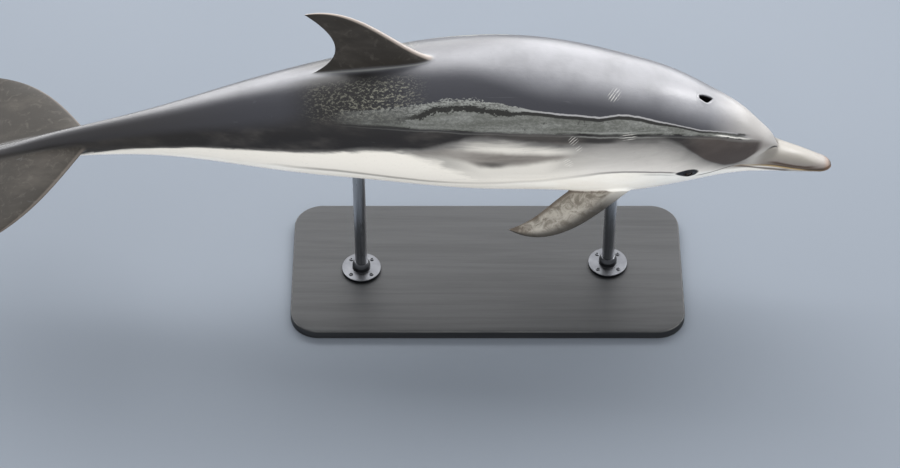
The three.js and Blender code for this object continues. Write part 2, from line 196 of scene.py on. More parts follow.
CAPE_EDGE = [
    (0.150, 1.5), (0.179, 26.5), (0.195, 34), (0.205, 41), (0.217, 51), (0.231, 61.5), (0.243, 67),
    (0.255, 70.5), (0.277, 72.5), (0.309, 67.5), (0.337, 62.8), (0.361, 57.5), (0.381, 54.5), (0.405, 51),
    (0.430, 49), (0.461, 49), (0.507, 52.5), (0.550, 56.5), (0.600, 61), (0.640, 64.5), (0.680, 66),
    (0.728, 65), (0.808, 62.3), (0.870, 62.8), (0.893, 64), (0.927, 69), (0.960, 73.5), (0.984, 75.5),
    (1.018, 77), (1.075, 78.3), (1.133, 80.5), (1.181, 84.3), (1.227, 86.3), (1.300, 88.7), (1.500, 94.5),
    (1.700, 110), (1.850, 150),
]
# The film, a painted reflection of a sheet of water over the shoulder: its upper edge, then its lower one.
FILM_TOP = [
    (0.200, 19.5), (0.231, 23.5), (0.279, 24.5), (0.369, 32), (0.469, 34.7), (0.510, 34.8), (0.539, 35.4),
    (0.567, 37), (0.605, 41.3), (0.691, 42), (0.750, 41), (0.792, 38.8), (0.830, 35.8), (0.884, 33.2),
    (0.946, 34), (0.997, 39.5), (1.035, 42.5), (1.080, 43), (1.148, 44.2), (1.240, 47),
]
FILM_BOTTOM = [
    (0.200, 20.5), (0.223, 25.5), (0.251, 29.3), (0.277, 32), (0.343, 35.5), (0.391, 40.5), (0.463, 46.5),
    (0.531, 52), (0.599, 56), (0.700, 58), (0.850, 58.5), (0.950, 58), (1.035, 58), (1.120, 57), (1.240, 53),
]
WEDGE_TOP = [
    (0.600, 76.5), (0.631, 75), (0.680, 73.5), (0.771, 74.5), (0.815, 74.2), (0.859, 74.5), (0.905, 73.5),
    (0.945, 74), (1.000, 78),
]
WEDGE_BOTTOM = [
    (0.600, 76.5), (0.648, 76.5), (0.677, 80.2), (0.722, 84.2), (0.767, 87.8), (0.813, 89.8), (0.859, 90.8),
    (0.884, 88.2), (0.914, 85.5), (0.946, 84), (1.043, 85),
]
STRIPE = [
    (0.390, 84.5), (0.435, 84.5), (0.483, 86), (0.531, 88), (0.577, 91.5), (0.621, 96.5), (0.667, 101),
    (0.713, 105), (0.761, 108), (0.809, 111.5), (0.857, 114), (0.905, 116), (0.979, 119), (1.060, 119.5),
    (1.200, 118), (1.340, 121), (1.420, 130.5),
]
# Scratches left by other dolphins' teeth, side by side in an oval: station, degrees down, half the oval along them
# and across them, and their turn in degrees from the body's length.
RAKE_MARKS = [
    (0.578, 22, 0.022, 0.015, 62), (0.655, 62, 0.013, 0.014, 50), (0.640, 68, 0.011, 0.009, 48),
    (0.658, 82, 0.012, 0.018, 42), (0.535, 53, 0.024, 0.013, 18),
]
RAKE_PITCH = 0.0057
DEGREE_ARC = 0.0030  # about how far a degree round the body is, on its side


# ---- Curves and sections -------------------------------------------------------------------------------------


def spline(rows, column, at):
    """A smooth curve through one column of a table against its first: the natural cubic spline.

    Slope and bend run on from each stretch to the next, and there is no bend at the two ends.
    """
    knots, values = rows[:, 0], rows[:, column]
    gap = np.diff(knots)
    rise = np.diff(values) / gap
    system = np.eye(len(knots))
    inner = np.arange(1, len(knots) - 1)
    system[inner, inner - 1] = gap[:-1]
    system[inner, inner] = 2 * (gap[:-1] + gap[1:])
    system[inner, inner + 1] = gap[1:]
    turn = np.zeros(len(knots))
    turn[1:-1] = 6 * np.diff(rise)
    bend = np.linalg.solve(system, turn)
    at = np.clip(at, knots[0], knots[-1])
    i = np.clip(np.searchsorted(knots, at) - 1, 0, len(gap) - 1)
    to = (at - knots[i]) / gap[i]
    back = 1 - to
    curved = (back**3 - back) * bend[i] + (to**3 - to) * bend[i + 1]
    return back * values[i] + to * values[i + 1] + curved * gap[i] ** 2 / 6


def ramp(value, low, high):
    """0 below low, 1 above high, and an S-shaped curve between: 3x^2 - 2x^3."""
    x = np.clip((value - low) / (high - low), 0, 1)
    return x * x * (3 - 2 * x)


def bump(distance, width):
    """1 at no distance, falling away on both sides as a bell: exp(-(distance / width)^2)."""
    return np.exp(-((distance / width) ** 2))


AXIS_STEP = 0.002
AXIS_STATIONS = np.arange(0, 2.100 + AXIS_STEP / 2, AXIS_STEP)
_slopes = np.radians(spline(SLOPE, 1, AXIS_STATIONS[:-1] + AXIS_STEP / 2))
AXIS_X = BEAK_TIP[0] - np.concatenate([[0], np.cumsum(AXIS_STEP * np.cos(_slopes))])
AXIS_Z = BEAK_TIP[2] - np.concatenate([[0], np.cumsum(AXIS_STEP * np.sin(_slopes))])


def body_axes(station):
    """Centre, forward, right and up at a station: the axis is its slope added up from the beak tip, and right
    and up are turned about it by the roll."""
    slope = np.radians(spline(SLOPE, 1, station))
    roll = np.radians(spline(ROLL, 1, station))[..., None]
    none = np.zeros_like(slope)
    centre = np.stack(
        [np.interp(station, AXIS_STATIONS, AXIS_X), none + BEAK_TIP[1], np.interp(station, AXIS_STATIONS, AXIS_Z)], -1
    )
    forward = np.stack([np.cos(slope), none, np.sin(slope)], -1)
    level = np.stack([none, none - 1, none], -1)
    upright = np.stack([-np.sin(slope), none, np.cos(slope)], -1)
    right = np.cos(roll) * level - np.sin(roll) * upright
    up = np.cos(roll) * upright + np.sin(roll) * level
    return centre, forward, right, up


def body_point(station, ahead, right, up):
    """The point so far ahead, right and up of the axis at a station."""
    centre, f, r, u = body_axes(np.asarray(station, float))
    ahead, right, up = (np.asarray(part)[..., None] for part in (ahead, right, up))
    return centre + ahead * f + right * r + up * u


def oval_radius(above, below, half, angle, squareness):
    """How far a section reaches at an angle: (|cos a / half|^n + |sin a / height|^n)^(-1/n)."""
    upright = np.where(np.sin(angle) >= 0, above, below)
    across = np.abs(np.cos(angle) / half) ** squareness
    return (across + np.abs(np.sin(angle) / upright) ** squareness) ** (-1 / squareness)


def forehead_and_beak(station, angle):
    """Radius of the body's own sections and of the beak's, before they are run together."""
    body, beak = (
        oval_radius(*(spline(table, column, station) for column in (1, 2, 3)), angle, squareness)
        for table, squareness in ((BODY, BODY_SQUARENESS), (BEAK, BEAK_SQUARENESS))
    )
    tip = 1 - np.minimum(station, BEAK_ROUNDING) / BEAK_ROUNDING
    return body, beak * np.sqrt(np.maximum(0, 1 - tip * tip))


def skin_radius(station, angle):
    """Distance from axis to skin. The larger of body and beak, softened where they meet:
    (a + b + sqrt((a - b)^2 + c^2)) / 2; only the beak at its tip, only the body behind it, and rounded off
    as a quarter of an ellipse at the tail's end."""
    body, beak = forehead_and_beak(station, angle)
    both = 0.5 * (body + beak + np.hypot(body - beak, FOREHEAD_CREASE))
    begun = beak + (both - beak) * ramp(station, *FOREHEAD_START)
    whole = begun + (body - begun) * ramp(station, *BEAK_END)
    end = np.maximum(0, 1 - (NOTCH - station) / TAIL_ROUNDING)
    return whole * np.sqrt(np.maximum(0, 1 - end * end))


def degrees_down(angle):
    """Degrees down from the middle of the back, on either side."""
    return np.degrees(np.arccos(np.clip(np.sin(angle), -1, 1)))


def skin_point(station, angle, extra=0.0):
    """A point of the plain skin, or one so much further out: axis + r (right cos a + up sin a)."""
    radius = skin_radius(station, angle) + extra
    return body_point(station, np.zeros_like(radius), radius * np.cos(angle), radius * np.sin(angle))


def locate(points):
    """Station, angle and radius of points: the station is moved until the point is square to the axis there."""
    station = (BEAK_TIP[0] - points[..., 0]).clip(0, AXIS_STATIONS[-1])
    for _ in range(6):
        centre, forward, right, up = body_axes(station)
        station = (station - np.sum((points - centre) * forward, -1)).clip(0, AXIS_STATIONS[-1])
    centre, forward, right, up = body_axes(station)
    across = np.sum((points - centre) * right, -1)
    upward = np.sum((points - centre) * up, -1)
    return station, np.arctan2(upward, across), np.hypot(across, upward)


# ---- Meshes --------------------------------------------------------------------------------------------------


def make_piece(name, points, quads, triangles, material, replaces, slot, attributes=()):
    """A mesh object at the origin from arrays of points and faces, smooth shaded, riding on the one body."""
    mesh = bpy.data.meshes.new(name)
    mesh.from_pydata(points.tolist(), [], quads.tolist() + triangles.tolist())
    mesh.update()
    for label, values in attributes:
        kind, part = ("FLOAT", "value") if values.ndim == 1 else ("FLOAT_VECTOR", "vector")
        layer = mesh.attributes.new(label, kind, "POINT")
        layer.data.foreach_set(part, values.astype(np.float32).ravel())
    mesh.shade_smooth()
    mesh.materials.append(material)
    piece = bpy.data.objects.new(name, mesh)
    bpy.context.scene.collection.objects.link(piece)
    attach(piece, "root")
    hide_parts(*replaces)


def ring_faces(outer, inner):
    """Quads between two rings of point numbers, the second inside the first."""
    return np.stack([outer, np.roll(outer, -1), np.roll(inner, -1), inner], 1)


def grid_faces(rows, columns):
    """Quads of a grid whose columns close on themselves."""
    number = np.arange(rows * columns).reshape(rows, columns)
    near, far = number[:-1], number[1:]
    return np.stack([near, np.roll(near, -1, 1), np.roll(far, -1, 1), far], -1).reshape(-1, 4)


def fan_faces(ring, pole):
    """Triangles that close a ring onto one point."""
    return np.stack([np.full_like(ring, pole), ring, np.roll(ring, -1)], 1)


class Surface:
    """One closed mesh in the making: a grid of rings, holes cut in it, and more rings grown out of the holes.

    Beside each point it keeps a place (station, degrees down from the back, side) and a mask: fin, from 0 on the
    body to 1 past a fin's root and 2 at its tip; pit, 1 in a hollow, where the skin is painted black as shade;
    chord, how far back across a fin.
    """

    def __init__(self, points, places):
        self.rows, self.columns = points.shape[:2]
        self.grid = points
        self.points = [points.reshape(-1, 3)]
        self.places = [places.reshape(-1, 3)]
        self.masks = [np.zeros((self.rows * self.columns, 3))]
        self.count = self.rows * self.columns
        self.kept = np.ones((self.rows - 1, self.columns), bool)
        self.quads = []
        self.triangles = []

    def add(self, points, mask):
        """Adds a ring of points, or one point, and returns their numbers."""
        points = points.reshape(-1, 3)
        station, angle, _ = locate(points)
        self.points.append(points)
        self.places.append(place_of(station, angle))
        self.masks.append(np.broadcast_to(mask, (len(points), 3)))
        first = self.count
        self.count += len(points)
        return np.arange(first, self.count)

    def close_ends(self, front, back):
        """Closes the first and the last ring of the grid onto a point each."""
        first = np.arange(self.columns)
        last = first + (self.rows - 1) * self.columns
        self.triangles.append(fan_faces(first[::-1], self.add(front, np.zeros(3))[0]))
        self.triangles.append(fan_faces(last, self.add(back, np.zeros(3))[0]))

    def cut(self, rows, columns):
        """Takes the faces out of a window of the grid and returns the points round it, in the order front,
        far, back and near side, as numbers, with how far round each side they are."""
        (top, bottom), (near, far) = rows, columns
        self.kept[top:bottom, near:far] = False
        across = np.linspace(-1, 1, far - near + 1)
        along = np.linspace(0, 1, bottom - top + 1)
        ring = np.concatenate([
            top * self.columns + np.arange(near, far),
            np.arange(top, bottom) * self.columns + far,
            bottom * self.columns + np.arange(far, near, -1),
            np.arange(bottom, top, -1) * self.columns + near,
        ])
        sides = [
            np.stack([across[:-1] * 0, across[:-1]], 1),
            np.stack([along[:-1], along[:-1] * 0 + 1], 1),
            np.stack([across[:-1] * 0 + 1, -across[:-1]], 1),
            np.stack([1 - along[:-1], along[:-1] * 0 - 1], 1),
        ]
        return ring, np.concatenate(sides)

    def grow(self, ring, rings, masks, pole, pole_mask):
        """Joins ring after ring to the edge of a hole and closes the last one onto a point."""
        for points, mask in zip(rings, masks):
            inner = self.add(points, mask)
            self.quads.append(ring_faces(ring, inner))
            ring = inner
        self.triangles.append(fan_faces(ring, self.add(pole, pole_mask)[0]))

    def arrays(self):
        faces = grid_faces(self.rows, self.columns)[self.kept.ravel()]
        join = np.concatenate
        return join(self.points), join([faces] + self.quads), join(self.triangles), join(self.places), join(self.masks)


def place_of(station, angle):
    """What the skin's finish reads: station, degrees down from the back, and the side, right negative."""
    return np.stack([station, degrees_down(angle), -np.cos(angle)], -1)


# ---- The skin ------------------------------------------------------------------------------------------------

# Where the skin's rings lie: each stretch's end and the space between its rings.
RING_STRETCHES = [
    (0.110, 0.0028), (0.210, 0.0022), (0.335, 0.0030), (0.400, 0.0015), (0.480, 0.0035), (1.900, 0.0070),
    (NOTCH - TAIL_ROUNDING, 0.0045),
]
TIP_RINGS = 12
RING_POINTS = 144
SIDE_CROWDING = (0.65, -0.35)  # head, then the rest: how far a ring's points crowd to its sides
CROWDING_CHANGE = (0.420, 0.560)

# Windows for the holes: first and last station, first and last angle.
DORSAL_WINDOW = (0.930, 1.272, 76, 104)
FLUKE_WINDOW = (1.778, 2.041, -38, 38)
FLIPPER_WINDOW = (0.456, 0.652, -66, -14)
EYE_WINDOW = (0.342, 0.390, -7, 14)
BLOWHOLE_WINDOW = (0.334, 0.390, 74, 106)
HEIGHT_PASSES = 8


def ring_stations():
    """Stations of the rings: crowded towards the beak tip and the tail's end, and even in each stretch."""
    quarter = np.linspace(0, math.pi / 2, TIP_RINGS + 1)[1:]
    stations = [BEAK_ROUNDING * (1 - np.cos(quarter))]
    start = BEAK_ROUNDING
    for end, space in RING_STRETCHES:
        stations.append(np.linspace(start, end, round((end - start) / space) + 1)[1:])
        start = end
    stations.append(start + TAIL_ROUNDING * np.sin(quarter[:-1]))
    return np.concatenate(stations)


def ring_angles(stations):
    """Angles of each ring's points: even steps, then v - c / 2 sin 2v, where c says how far they crowd to the
    sides, from the head's value to the rest's."""
    steps = np.radians(-90 + 360 * np.arange(RING_POINTS) / RING_POINTS)
    head, rest = SIDE_CROWDING
    crowding = head + (rest - head) * ramp(stations, *CROWDING_CHANGE)
    return steps - crowding[:, None] / 2 * np.sin(2 * steps)


def crease_offset(station, down):
    """How far behind the crease between forehead and beak: it runs back evenly as it comes down the side."""
    return station - CREASE_START - CREASE_SWEEP * np.maximum(down - CREASE_TURN, 0)


def relief(station, angle, settings):
    """How far the skin stands out from the plain sections, in words: a groove along the mouth with a lip on
    each side, a crease where the forehead meets the beak, a low mound round the blowhole, and a slit and a
    navel under the belly. All are bells across a line and ramps along it."""
    radius = skin_radius(station, angle)
    off = radius * np.sin(angle) - spline(MOUTH, 1, station)
    open_part = 1 - ramp(station, MOUTH_CORNER - 0.020, MOUTH_CORNER + 0.010)
    fold = FOLD_SHARE * (1 - ramp(station, FOLD_END - 0.035, FOLD_END))
    strength = open_part + (1 - open_part) * fold
    sides = ramp(np.abs(np.cos(angle)), 0.0, 0.15)
    made = -settings.mouth_depth * bump(off, settings.mouth_width) * strength * sides
    for above, share in LIPS:
        made += share * settings.lip_height * bump(off - above, LIP_WIDTH) * open_part * sides
    down = degrees_down(angle)
    crease = bump(crease_offset(station, down), 0.0050) * ramp(down, 3, 11) * (1 - ramp(down, 26, 46))
    made -= settings.crease_depth * crease
    on_top, below = (radius * np.cos(angle) + 1e3 * (side * np.sin(angle) < 0) for side in (1, -1))
    made += settings.blowhole_mound * bump(np.hypot(station - BLOWHOLE_STATION, on_top), 0.030)
    slit = ramp(station, *SLIT["begins"]) * (1 - ramp(station, *SLIT["ends"]))
    made -= SLIT["depth"] * bump(below, SLIT["width"]) * slit
    made -= NAVEL["depth"] * bump(np.hypot(station - NAVEL["station"], below), NAVEL["width"])
    return made


def surface_normals(points):
    """Outward directions of a grid of rings: along a row crossed with across the rows."""
    along = np.gradient(points, axis=0)
    across = np.roll(points, -1, 1) - np.roll(points, 1, 1)
    normal = np.cross(across, along)
    return normal / np.linalg.norm(normal, axis=-1, keepdims=True)


def window(stations, angles, limits):
    """Rows and columns of the grid nearest to a window's limits."""
    first, last, low, high = limits
    rows = (int(np.abs(stations - first).argmin()), int(np.abs(stations - last).argmin()))
    middle = angles[(rows[0] + rows[1]) // 2]
    columns = tuple(int(np.abs(middle - math.radians(limit)).argmin()) for limit in (low, high))
    return rows, columns


def wing_section(fraction):
    """Half thickness of a wing one unit thick, at a fraction of its width back from the front."""
    x = fraction
    return 5 * (0.2969 * np.sqrt(x) - 0.126 * x - 0.3516 * x**2 + 0.2843 * x**3 - 0.1036 * x**4)


def bezier(points, t):
    """Cubic Bezier curve: (1-t)^3 a + 3 (1-t)^2 t b + 3 (1-t) t^2 c + t^3 d."""
    a, b, c, d = np.array(points, float)
    t = t[..., None]
    return (1 - t) ** 3 * a + 3 * (1 - t) ** 2 * t * b + 3 * (1 - t) * t**2 * c + t**3 * d


def corner_curve(a, b, c, t):
    """Quadratic Bezier curve: (1-t)^2 a + 2 (1-t) t b + t^2 c."""
    return (1 - t) ** 2 * a + 2 * (1 - t) * t * b + t**2 * c


def fin_surface(shape, place, fraction, across, t):
    """Points of a fin. t runs from root to tip, fraction from the front edge to the back one, and across from
    -1 to 1 through the thickness: the edges are Bezier curves, the section between them a wing's, and the
    thickness falls off at the tip as sqrt(1 - t^6)."""
    back = fraction[..., None]
    edge_point = bezier(shape["lead"], t) * (1 - back) + bezier(shape["trail"], t) * back
    root, tip = shape["thickness"]
    full = (root + (tip - root) * t) * np.sqrt(np.maximum(0, 1 - t**6))
    ending = np.sqrt(np.maximum(0, 1 - t**12))
    half = full * wing_section(fraction) + FIN_EDGE * np.minimum(1, 20 * fraction) * ending
    return place(edge_point[..., 0], edge_point[..., 1], across * half)


def fin_roots(line, samples, fillet):
    """Where each line of a fin comes out of the skin, and where it is free of the fillet: the first sample
    outside the skin, moved back linearly to the skin itself, and then on along the line by the fillet."""
    station, angle, radius = locate(line)
    out = radius - skin_radius(station, angle)
    first = np.argmax(out > 0, 1)
    numbers = np.arange(len(line))
    inside, outside = out[numbers, first - 1], out[numbers, first]
    t_root = samples[first - 1] + (samples[first] - samples[first - 1]) * inside / (inside - outside)
    steps = np.linalg.norm(np.diff(line, axis=1), axis=-1)
    length = np.concatenate([np.zeros((len(line), 1)), steps.cumsum(1)], 1)
    t_free = [np.interp(np.interp(t, samples, run) + fillet, run, samples) for t, run in zip(t_root, length)]
    return t_root, np.array(t_free)


def grow_fin(skin, hole, shape, place, turn, settings):
    """Grows a fin out of a hole in the skin.

    Each point of the hole's edge has a line of its own on the fin, from root to tip. The rings follow the
    skin from the edge to just short of where that line comes out of it, then a quadratic Bezier curve round
    the root's fillet, then the line itself to the tip.
    """
    ring, sides = hole
    along, side = sides.T
    nose = NOSE_SHARE * side**2
    between = NOSE_SHARE + (1 - 2 * NOSE_SHARE) * along
    fraction = np.select([along == 0, along == 1], [nose, 1 - nose], between)
    across = turn * np.where(along == 0, np.sign(side), side)

    def on_fin(t):
        return fin_surface(shape, place, fraction, across, t)

    samples = np.linspace(0, 1, FIN_SAMPLES)
    line = fin_surface(shape, place, *np.broadcast_arrays(fraction[:, None], across[:, None], samples))
    fillet = settings.root_fillet
    t_root, t_free = fin_roots(line, samples, fillet)

    root, start = on_fin(t_root), skin.points[0][ring]
    root_station, root_angle, _ = locate(root)
    start_station, start_angle, _ = locate(start)
    swing = (root_angle - start_angle + math.pi) % (2 * math.pi) - math.pi
    stop = np.clip(1 - fillet / np.linalg.norm(root - start, axis=1), 0.05, 1)

    def on_skin(share):
        return skin_point(start_station + (root_station - start_station) * share, start_angle + swing * share)

    def shares(count):
        return [k / count for k in range(1, count + 1)]

    free = on_fin(t_free)
    flat = [on_skin(stop * share) for share in shares(settings.flat_rings)]
    bends = [corner_curve(flat[-1], root, free, share) for share in shares(settings.fillet_rings)]
    spans = [
        on_fin(t_free + (1 - t_free) * (1 - (1 - share) ** TIP_CROWDING))
        for share in shares(settings.fin_rings)[:-1]
    ]
    reached = [0.0] * len(flat) + shares(len(bends)) + [1 + share for share in shares(settings.fin_rings)[:-1]]
    masks = [np.stack([np.full(len(ring), amount), 0 * fraction, fraction], 1) for amount in reached]
    tip = fin_surface(shape, place, np.zeros(1), np.zeros(1), np.ones(1))
    skin.grow(ring, flat + bends + spans, masks, tip, np.array([2.0, 0, 0]))


def dorsal_place(station, height, side):
    """A point of the back fin, in the plane of the axis and up."""
    return body_point(station, np.zeros_like(station), side, height)


def fluke_place(side):
    """Points of a fluke: level with the axis, and drooping with the square of the way out."""
    reach = FLUKE["lead"][-1][1]

    def place(station, out, thick):
        return body_point(station, np.zeros_like(station), side * out, thick - FLUKE_DROOP * (out / reach) ** 2)

    return place


def flipper_place(side):
    """Points of a flipper: its root, and from there the ways out along its span, ahead and through it."""
    span = FLIPPER_SPAN / np.linalg.norm(FLIPPER_SPAN)
    chord = FLIPPER_CHORD - span * (FLIPPER_CHORD @ span)
    chord /= np.linalg.norm(chord)
    normal = np.cross(span, chord)

    def place(out, ahead, thick):
        local = FLIPPER_ROOT + out[..., None] * span + ahead[..., None] * chord + thick[..., None] * normal
        station = np.full(out.shape, FLIPPER_STATION)
        return body_point(station, local[..., 0], side * local[..., 1], local[..., 2])

    return place


def spot_axes(station, angle):
    """A spot on the skin, and the directions forward, up its side and outward there."""
    step = 0.002
    s, a = np.array([station, station - step, station]), np.array([angle, angle, angle + step / 0.1])
    here, ahead, above = skin_point(s, a)
    forward = (ahead - here) / np.linalg.norm(ahead - here)
    upward = above - here - forward * ((above - here) @ forward)
    upward /= np.linalg.norm(upward)
    outward = np.cross(upward, forward)
    outward *= np.sign(outward @ (here - body_axes(np.array(station))[0]))
    return here, forward, upward, outward


def eye_axes(side):
    """The middle of the eyeball, and the directions along the lids, across them and outward from it."""
    angle = math.radians(EYE_ANGLE if side > 0 else 180 - EYE_ANGLE)
    _, forward, upward, outward = spot_axes(EYE_STATION, angle)
    if side < 0:
        upward = -upward
    centre = skin_point(np.array(EYE_STATION), np.array(angle), -EYE_DEPTH)
    c, s = math.cos(math.radians(EYE_TILT)), math.sin(math.radians(EYE_TILT))
    return centre, c * forward + s * upward, c * upward - s * forward, outward


def almond(turn, length, height, point):
    """Outline of the lids' opening: |x / a|^n + |y / b|^n = 1."""
    c, s = np.cos(turn), np.sin(turn)
    reach = (np.abs(c / (length / 2)) ** point + np.abs(s / (height / 2)) ** point) ** (-1 / point)
    return reach * c, reach * s


class Opening:
    """A hole in the skin and the rings that close it, in a frame of its own: a centre, two directions across
    the hole and one outward. The skin over the hole is touched by a plane that lies height out from the centre."""

    def __init__(self, skin, hole, axes, height, settings):
        self.skin, self.ring, self.height, self.settings = skin, hole[0], height, settings
        self.centre, *self.axes = axes
        self.start = [(skin.points[0][self.ring] - self.centre) @ axis for axis in self.axes]
        self.turn = np.arctan2(self.start[1], self.start[0])
        self.rings, self.masks = [], []

    def level(self, x, y):
        """How far out the skin is: the height is raised by what is still missing between the axis and the
        skin, again and again, until nothing is."""
        spot = self.centre + self.height * self.axes[2]
        height = np.zeros_like(x)
        for _ in range(HEIGHT_PASSES):
            points = spot + x[:, None] * self.axes[0] + y[:, None] * self.axes[1] + height[:, None] * self.axes[2]
            station, angle, radius = locate(points)
            height = height + skin_radius(station, angle) + relief(station, angle, self.settings) - radius
        return self.height + height

    def lay(self, x, y, z, dark):
        """Adds a ring; dark from 0 to 1 is how far its skin is painted black, as shade in the hollow."""
        first, second, outward = self.axes
        self.rings.append(self.centre + x[:, None] * first + y[:, None] * second + z[:, None] * outward)
        self.masks.append(np.array([0.0, dark, 0.0]))

    def run_in(self, x1, y1, count, level, fold, dark):
        """Lays rings from the hole's edge in to an outline. They start where the skin is, and run over to the
        level and its folds as (1 - share)^2 falls."""
        x0, y0, z0 = self.start
        match = z0 - level(x0, y0)
        for share in np.linspace(0, 1, count + 1)[1:]:
            x, y = x0 + (x1 - x0) * share, y0 + (y1 - y0) * share
            self.lay(x, y, level(x, y) + match * (1 - share) ** 2 + fold(x, y), dark(share))

    def close(self, depth):
        pole = self.centre - depth * self.axes[2]
        self.skin.grow(self.ring, self.rings, self.masks, pole, np.array([0.0, 1.0, 0.0]))


def grow_lids(skin, hole, side, settings):
    """Closes an eye's hole with its lids.

    The skin runs in to the lids' edge over the softened larger of its own level and a sphere just outside the
    eyeball, with a fold above and below; then it turns in over the edge and lines the socket as a sphere
    round the ball.
    """
    made = Opening(skin, hole, eye_axes(side), EYE_DEPTH, settings)
    length, height = settings.eye_length, settings.eye_height
    lid, ball, socket = EYE_RADIUS + settings.lid_thickness, EYE_RADIUS + LID_GAP, EYE_RADIUS + GAP
    turn = made.turn
    x1, y1 = almond(turn, length, height, settings.eye_point)

    def level(x, y):
        skin_level = made.level(x, y)
        sphere = np.sqrt(np.maximum(lid**2 - x**2 - y**2, 0))
        return 0.5 * (skin_level + sphere + np.hypot(skin_level - sphere, settings.lid_softness))

    def fold(x, y):
        over = np.hypot(x / length, y / height) * 2
        folds = sum(share * bump(over - at, width) for at, width, share in LID_FOLDS)
        return -settings.lid_fold * folds * np.abs(np.sin(turn))

    # The last quarter of the way in, the lids' edge and the socket are painted black, as shade.
    made.run_in(x1, y1, settings.lid_rings, level, fold, lambda share: float(ramp(share, 0.75, 1.0)))
    for scale, sink in LID_EDGE:
        x, y = x1 * scale, y1 * scale
        made.lay(x, y, level(x1, y1) * (1 - sink) + np.sqrt(ball**2 - x**2 - y**2) * sink, 1.0)
    start = np.arcsin(np.hypot(x1, y1) / socket)
    for share in np.linspace(0, 1, SOCKET_RINGS + 2)[1:-1]:
        polar = start + (math.pi - start) * share
        across = socket * np.sin(polar)
        made.lay(across * np.cos(turn), across * np.sin(turn), socket * np.cos(polar), 1.0)
    made.close(socket)


def hole_outline(turn, size):
    """Outline of a rounded hole with flat sides, as its reach at an angle: the sum over the sides of
    max(0, cos(angle - direction) / distance)^n, to the power -1 / n."""
    sides = np.maximum(0, np.cos(turn[:, None] - np.radians(BLOWHOLE_SIDES[:, 0]))) / BLOWHOLE_SIDES[:, 1]
    return size * np.sum(sides**BLOWHOLE_SQUARENESS, 1) ** (-1 / BLOWHOLE_SQUARENESS)


def grow_blowhole(skin, hole, settings):
    """Closes the blowhole: the skin runs in to a rounded rim, rolls over it and sinks to a pit."""
    made = Opening(skin, hole, spot_axes(BLOWHOLE_STATION, math.radians(BLOWHOLE_ANGLE)), 0.0, settings)
    reach = hole_outline(made.turn, settings.blowhole_size)
    x1, y1 = reach * np.cos(made.turn), reach * np.sin(made.turn)
    rim = settings.blowhole_rim

    def fold(x, y):
        near = np.hypot(x - x1, y - y1)
        return rim * bump(near, 0.0065) - rim * 1.3 * bump(near, 0.0016)

    made.run_in(x1, y1, BLOWHOLE_RINGS, made.level, fold, lambda share: 0.0)
    edge = made.level(x1, y1) - 0.3 * rim
    for scale, depth, dark in BLOWHOLE_PIT:
        made.lay(x1 * scale, y1 * scale, edge - depth, dark)
    made.close(BLOWHOLE_DEPTH)


def build_skin(settings):
    """The whole skin as one closed surface."""
    stations = ring_stations()
    angles = ring_angles(stations)
    across = np.broadcast_to(stations[:, None], angles.shape)
    plain = skin_point(across, angles)
    points = plain + surface_normals(plain) * relief(across, angles, settings)[..., None]
    skin = Surface(points, place_of(across, angles))
    skin.close_ends(skin_point(np.zeros(1), np.zeros(1)), skin_point(np.array([NOTCH]), np.zeros(1)))

    def hole(limits, side=1):
        first, last, low, high = limits
        if side < 0:
            low, high = 180 - high, 180 - low
        return skin.cut(*window(stations, angles, (first, last, low, high)))

    grow_fin(skin, hole(DORSAL_WINDOW), DORSAL_FIN, dorsal_place, -1, settings)
    pairs = ((FLUKE_WINDOW, FLUKE, fluke_place, 1), (FLIPPER_WINDOW, FLIPPER, flipper_place, -1))
    for limits, shape, place, turn in pairs:
        for side in (1, -1):
            grow_fin(skin, hole(limits, side), shape, place(side), turn * side, settings)
    for side in (1, -1):
        grow_lids(skin, hole(EYE_WINDOW, side), side, settings)
    grow_blowhole(skin, hole(BLOWHOLE_WINDOW), settings)
    return skin.arrays()


# ---- What the skin's finish reads at each point --------------------------------------------------------------


# What the finish reads at each point of the skin: the mesh's attributes and their three parts. cape to stripe are
# distances below the markings' edges, in metres; fin, pit and chord are the skin's mask. The attribute crease,
# which has one part, is beside these.
SKIN_ATTRIBUTES = {
    "place": ("station", "down", "side"),
    "mask": ("fin", "pit", "chord"),
    "cape": ("cape", "film_top", "film_bottom"),
    "flank": ("wedge_top", "wedge_bottom", "stripe"),
    "face": ("above_mouth", "eye_along", "eye_across"),
}


def line_distance(curve, station, down, radius):
    """How far a point is below a marking's edge, in metres: the arc from the edge's angle, linear between the
    curve's points, to the point's own."""
    stations, angles = np.array(curve).T
    return np.radians(down - np.interp(station, stations, angles)) * radius


def marking_attributes(points, places, masks):
    """Distances to the markings' edges, the mouth, the eye and the forehead's crease."""
    station, down, _ = places.T
    _, angle, radius = locate(points)
    cape, film_top, film_bottom, wedge_top, wedge_bottom, stripe = (
        line_distance(curve, station, down, radius)
        for curve in (CAPE_EDGE, FILM_TOP, FILM_BOTTOM, WEDGE_TOP, WEDGE_BOTTOM, STRIPE)
    )
    above_mouth = radius * np.sin(angle) - spline(MOUTH, 1, station)
    eye_across = np.radians(90 - EYE_ANGLE - down) * radius
    return [
        ("place", places),
        ("mask", masks),
        ("cape", np.stack([cape, film_top, film_bottom], -1)),
        ("flank", np.stack([wedge_top, wedge_bottom, stripe], -1)),
        ("face", np.stack([above_mouth, station - EYE_STATION, eye_across], -1)),
        ("crease", crease_offset(station, down)),
    ]


# ---- Materials -----------------------------------------------------------------------------------------------


def shade(red, green, blue):
    """A colour given as the eye sees it, 0 to 255, as the linear light that Blender mixes."""
    seen = np.array([red, green, blue]) / 255
    return tuple(np.where(seen <= 0.04045, seen / 12.92, ((seen + 0.055) / 1.055) ** 2.4).tolist())


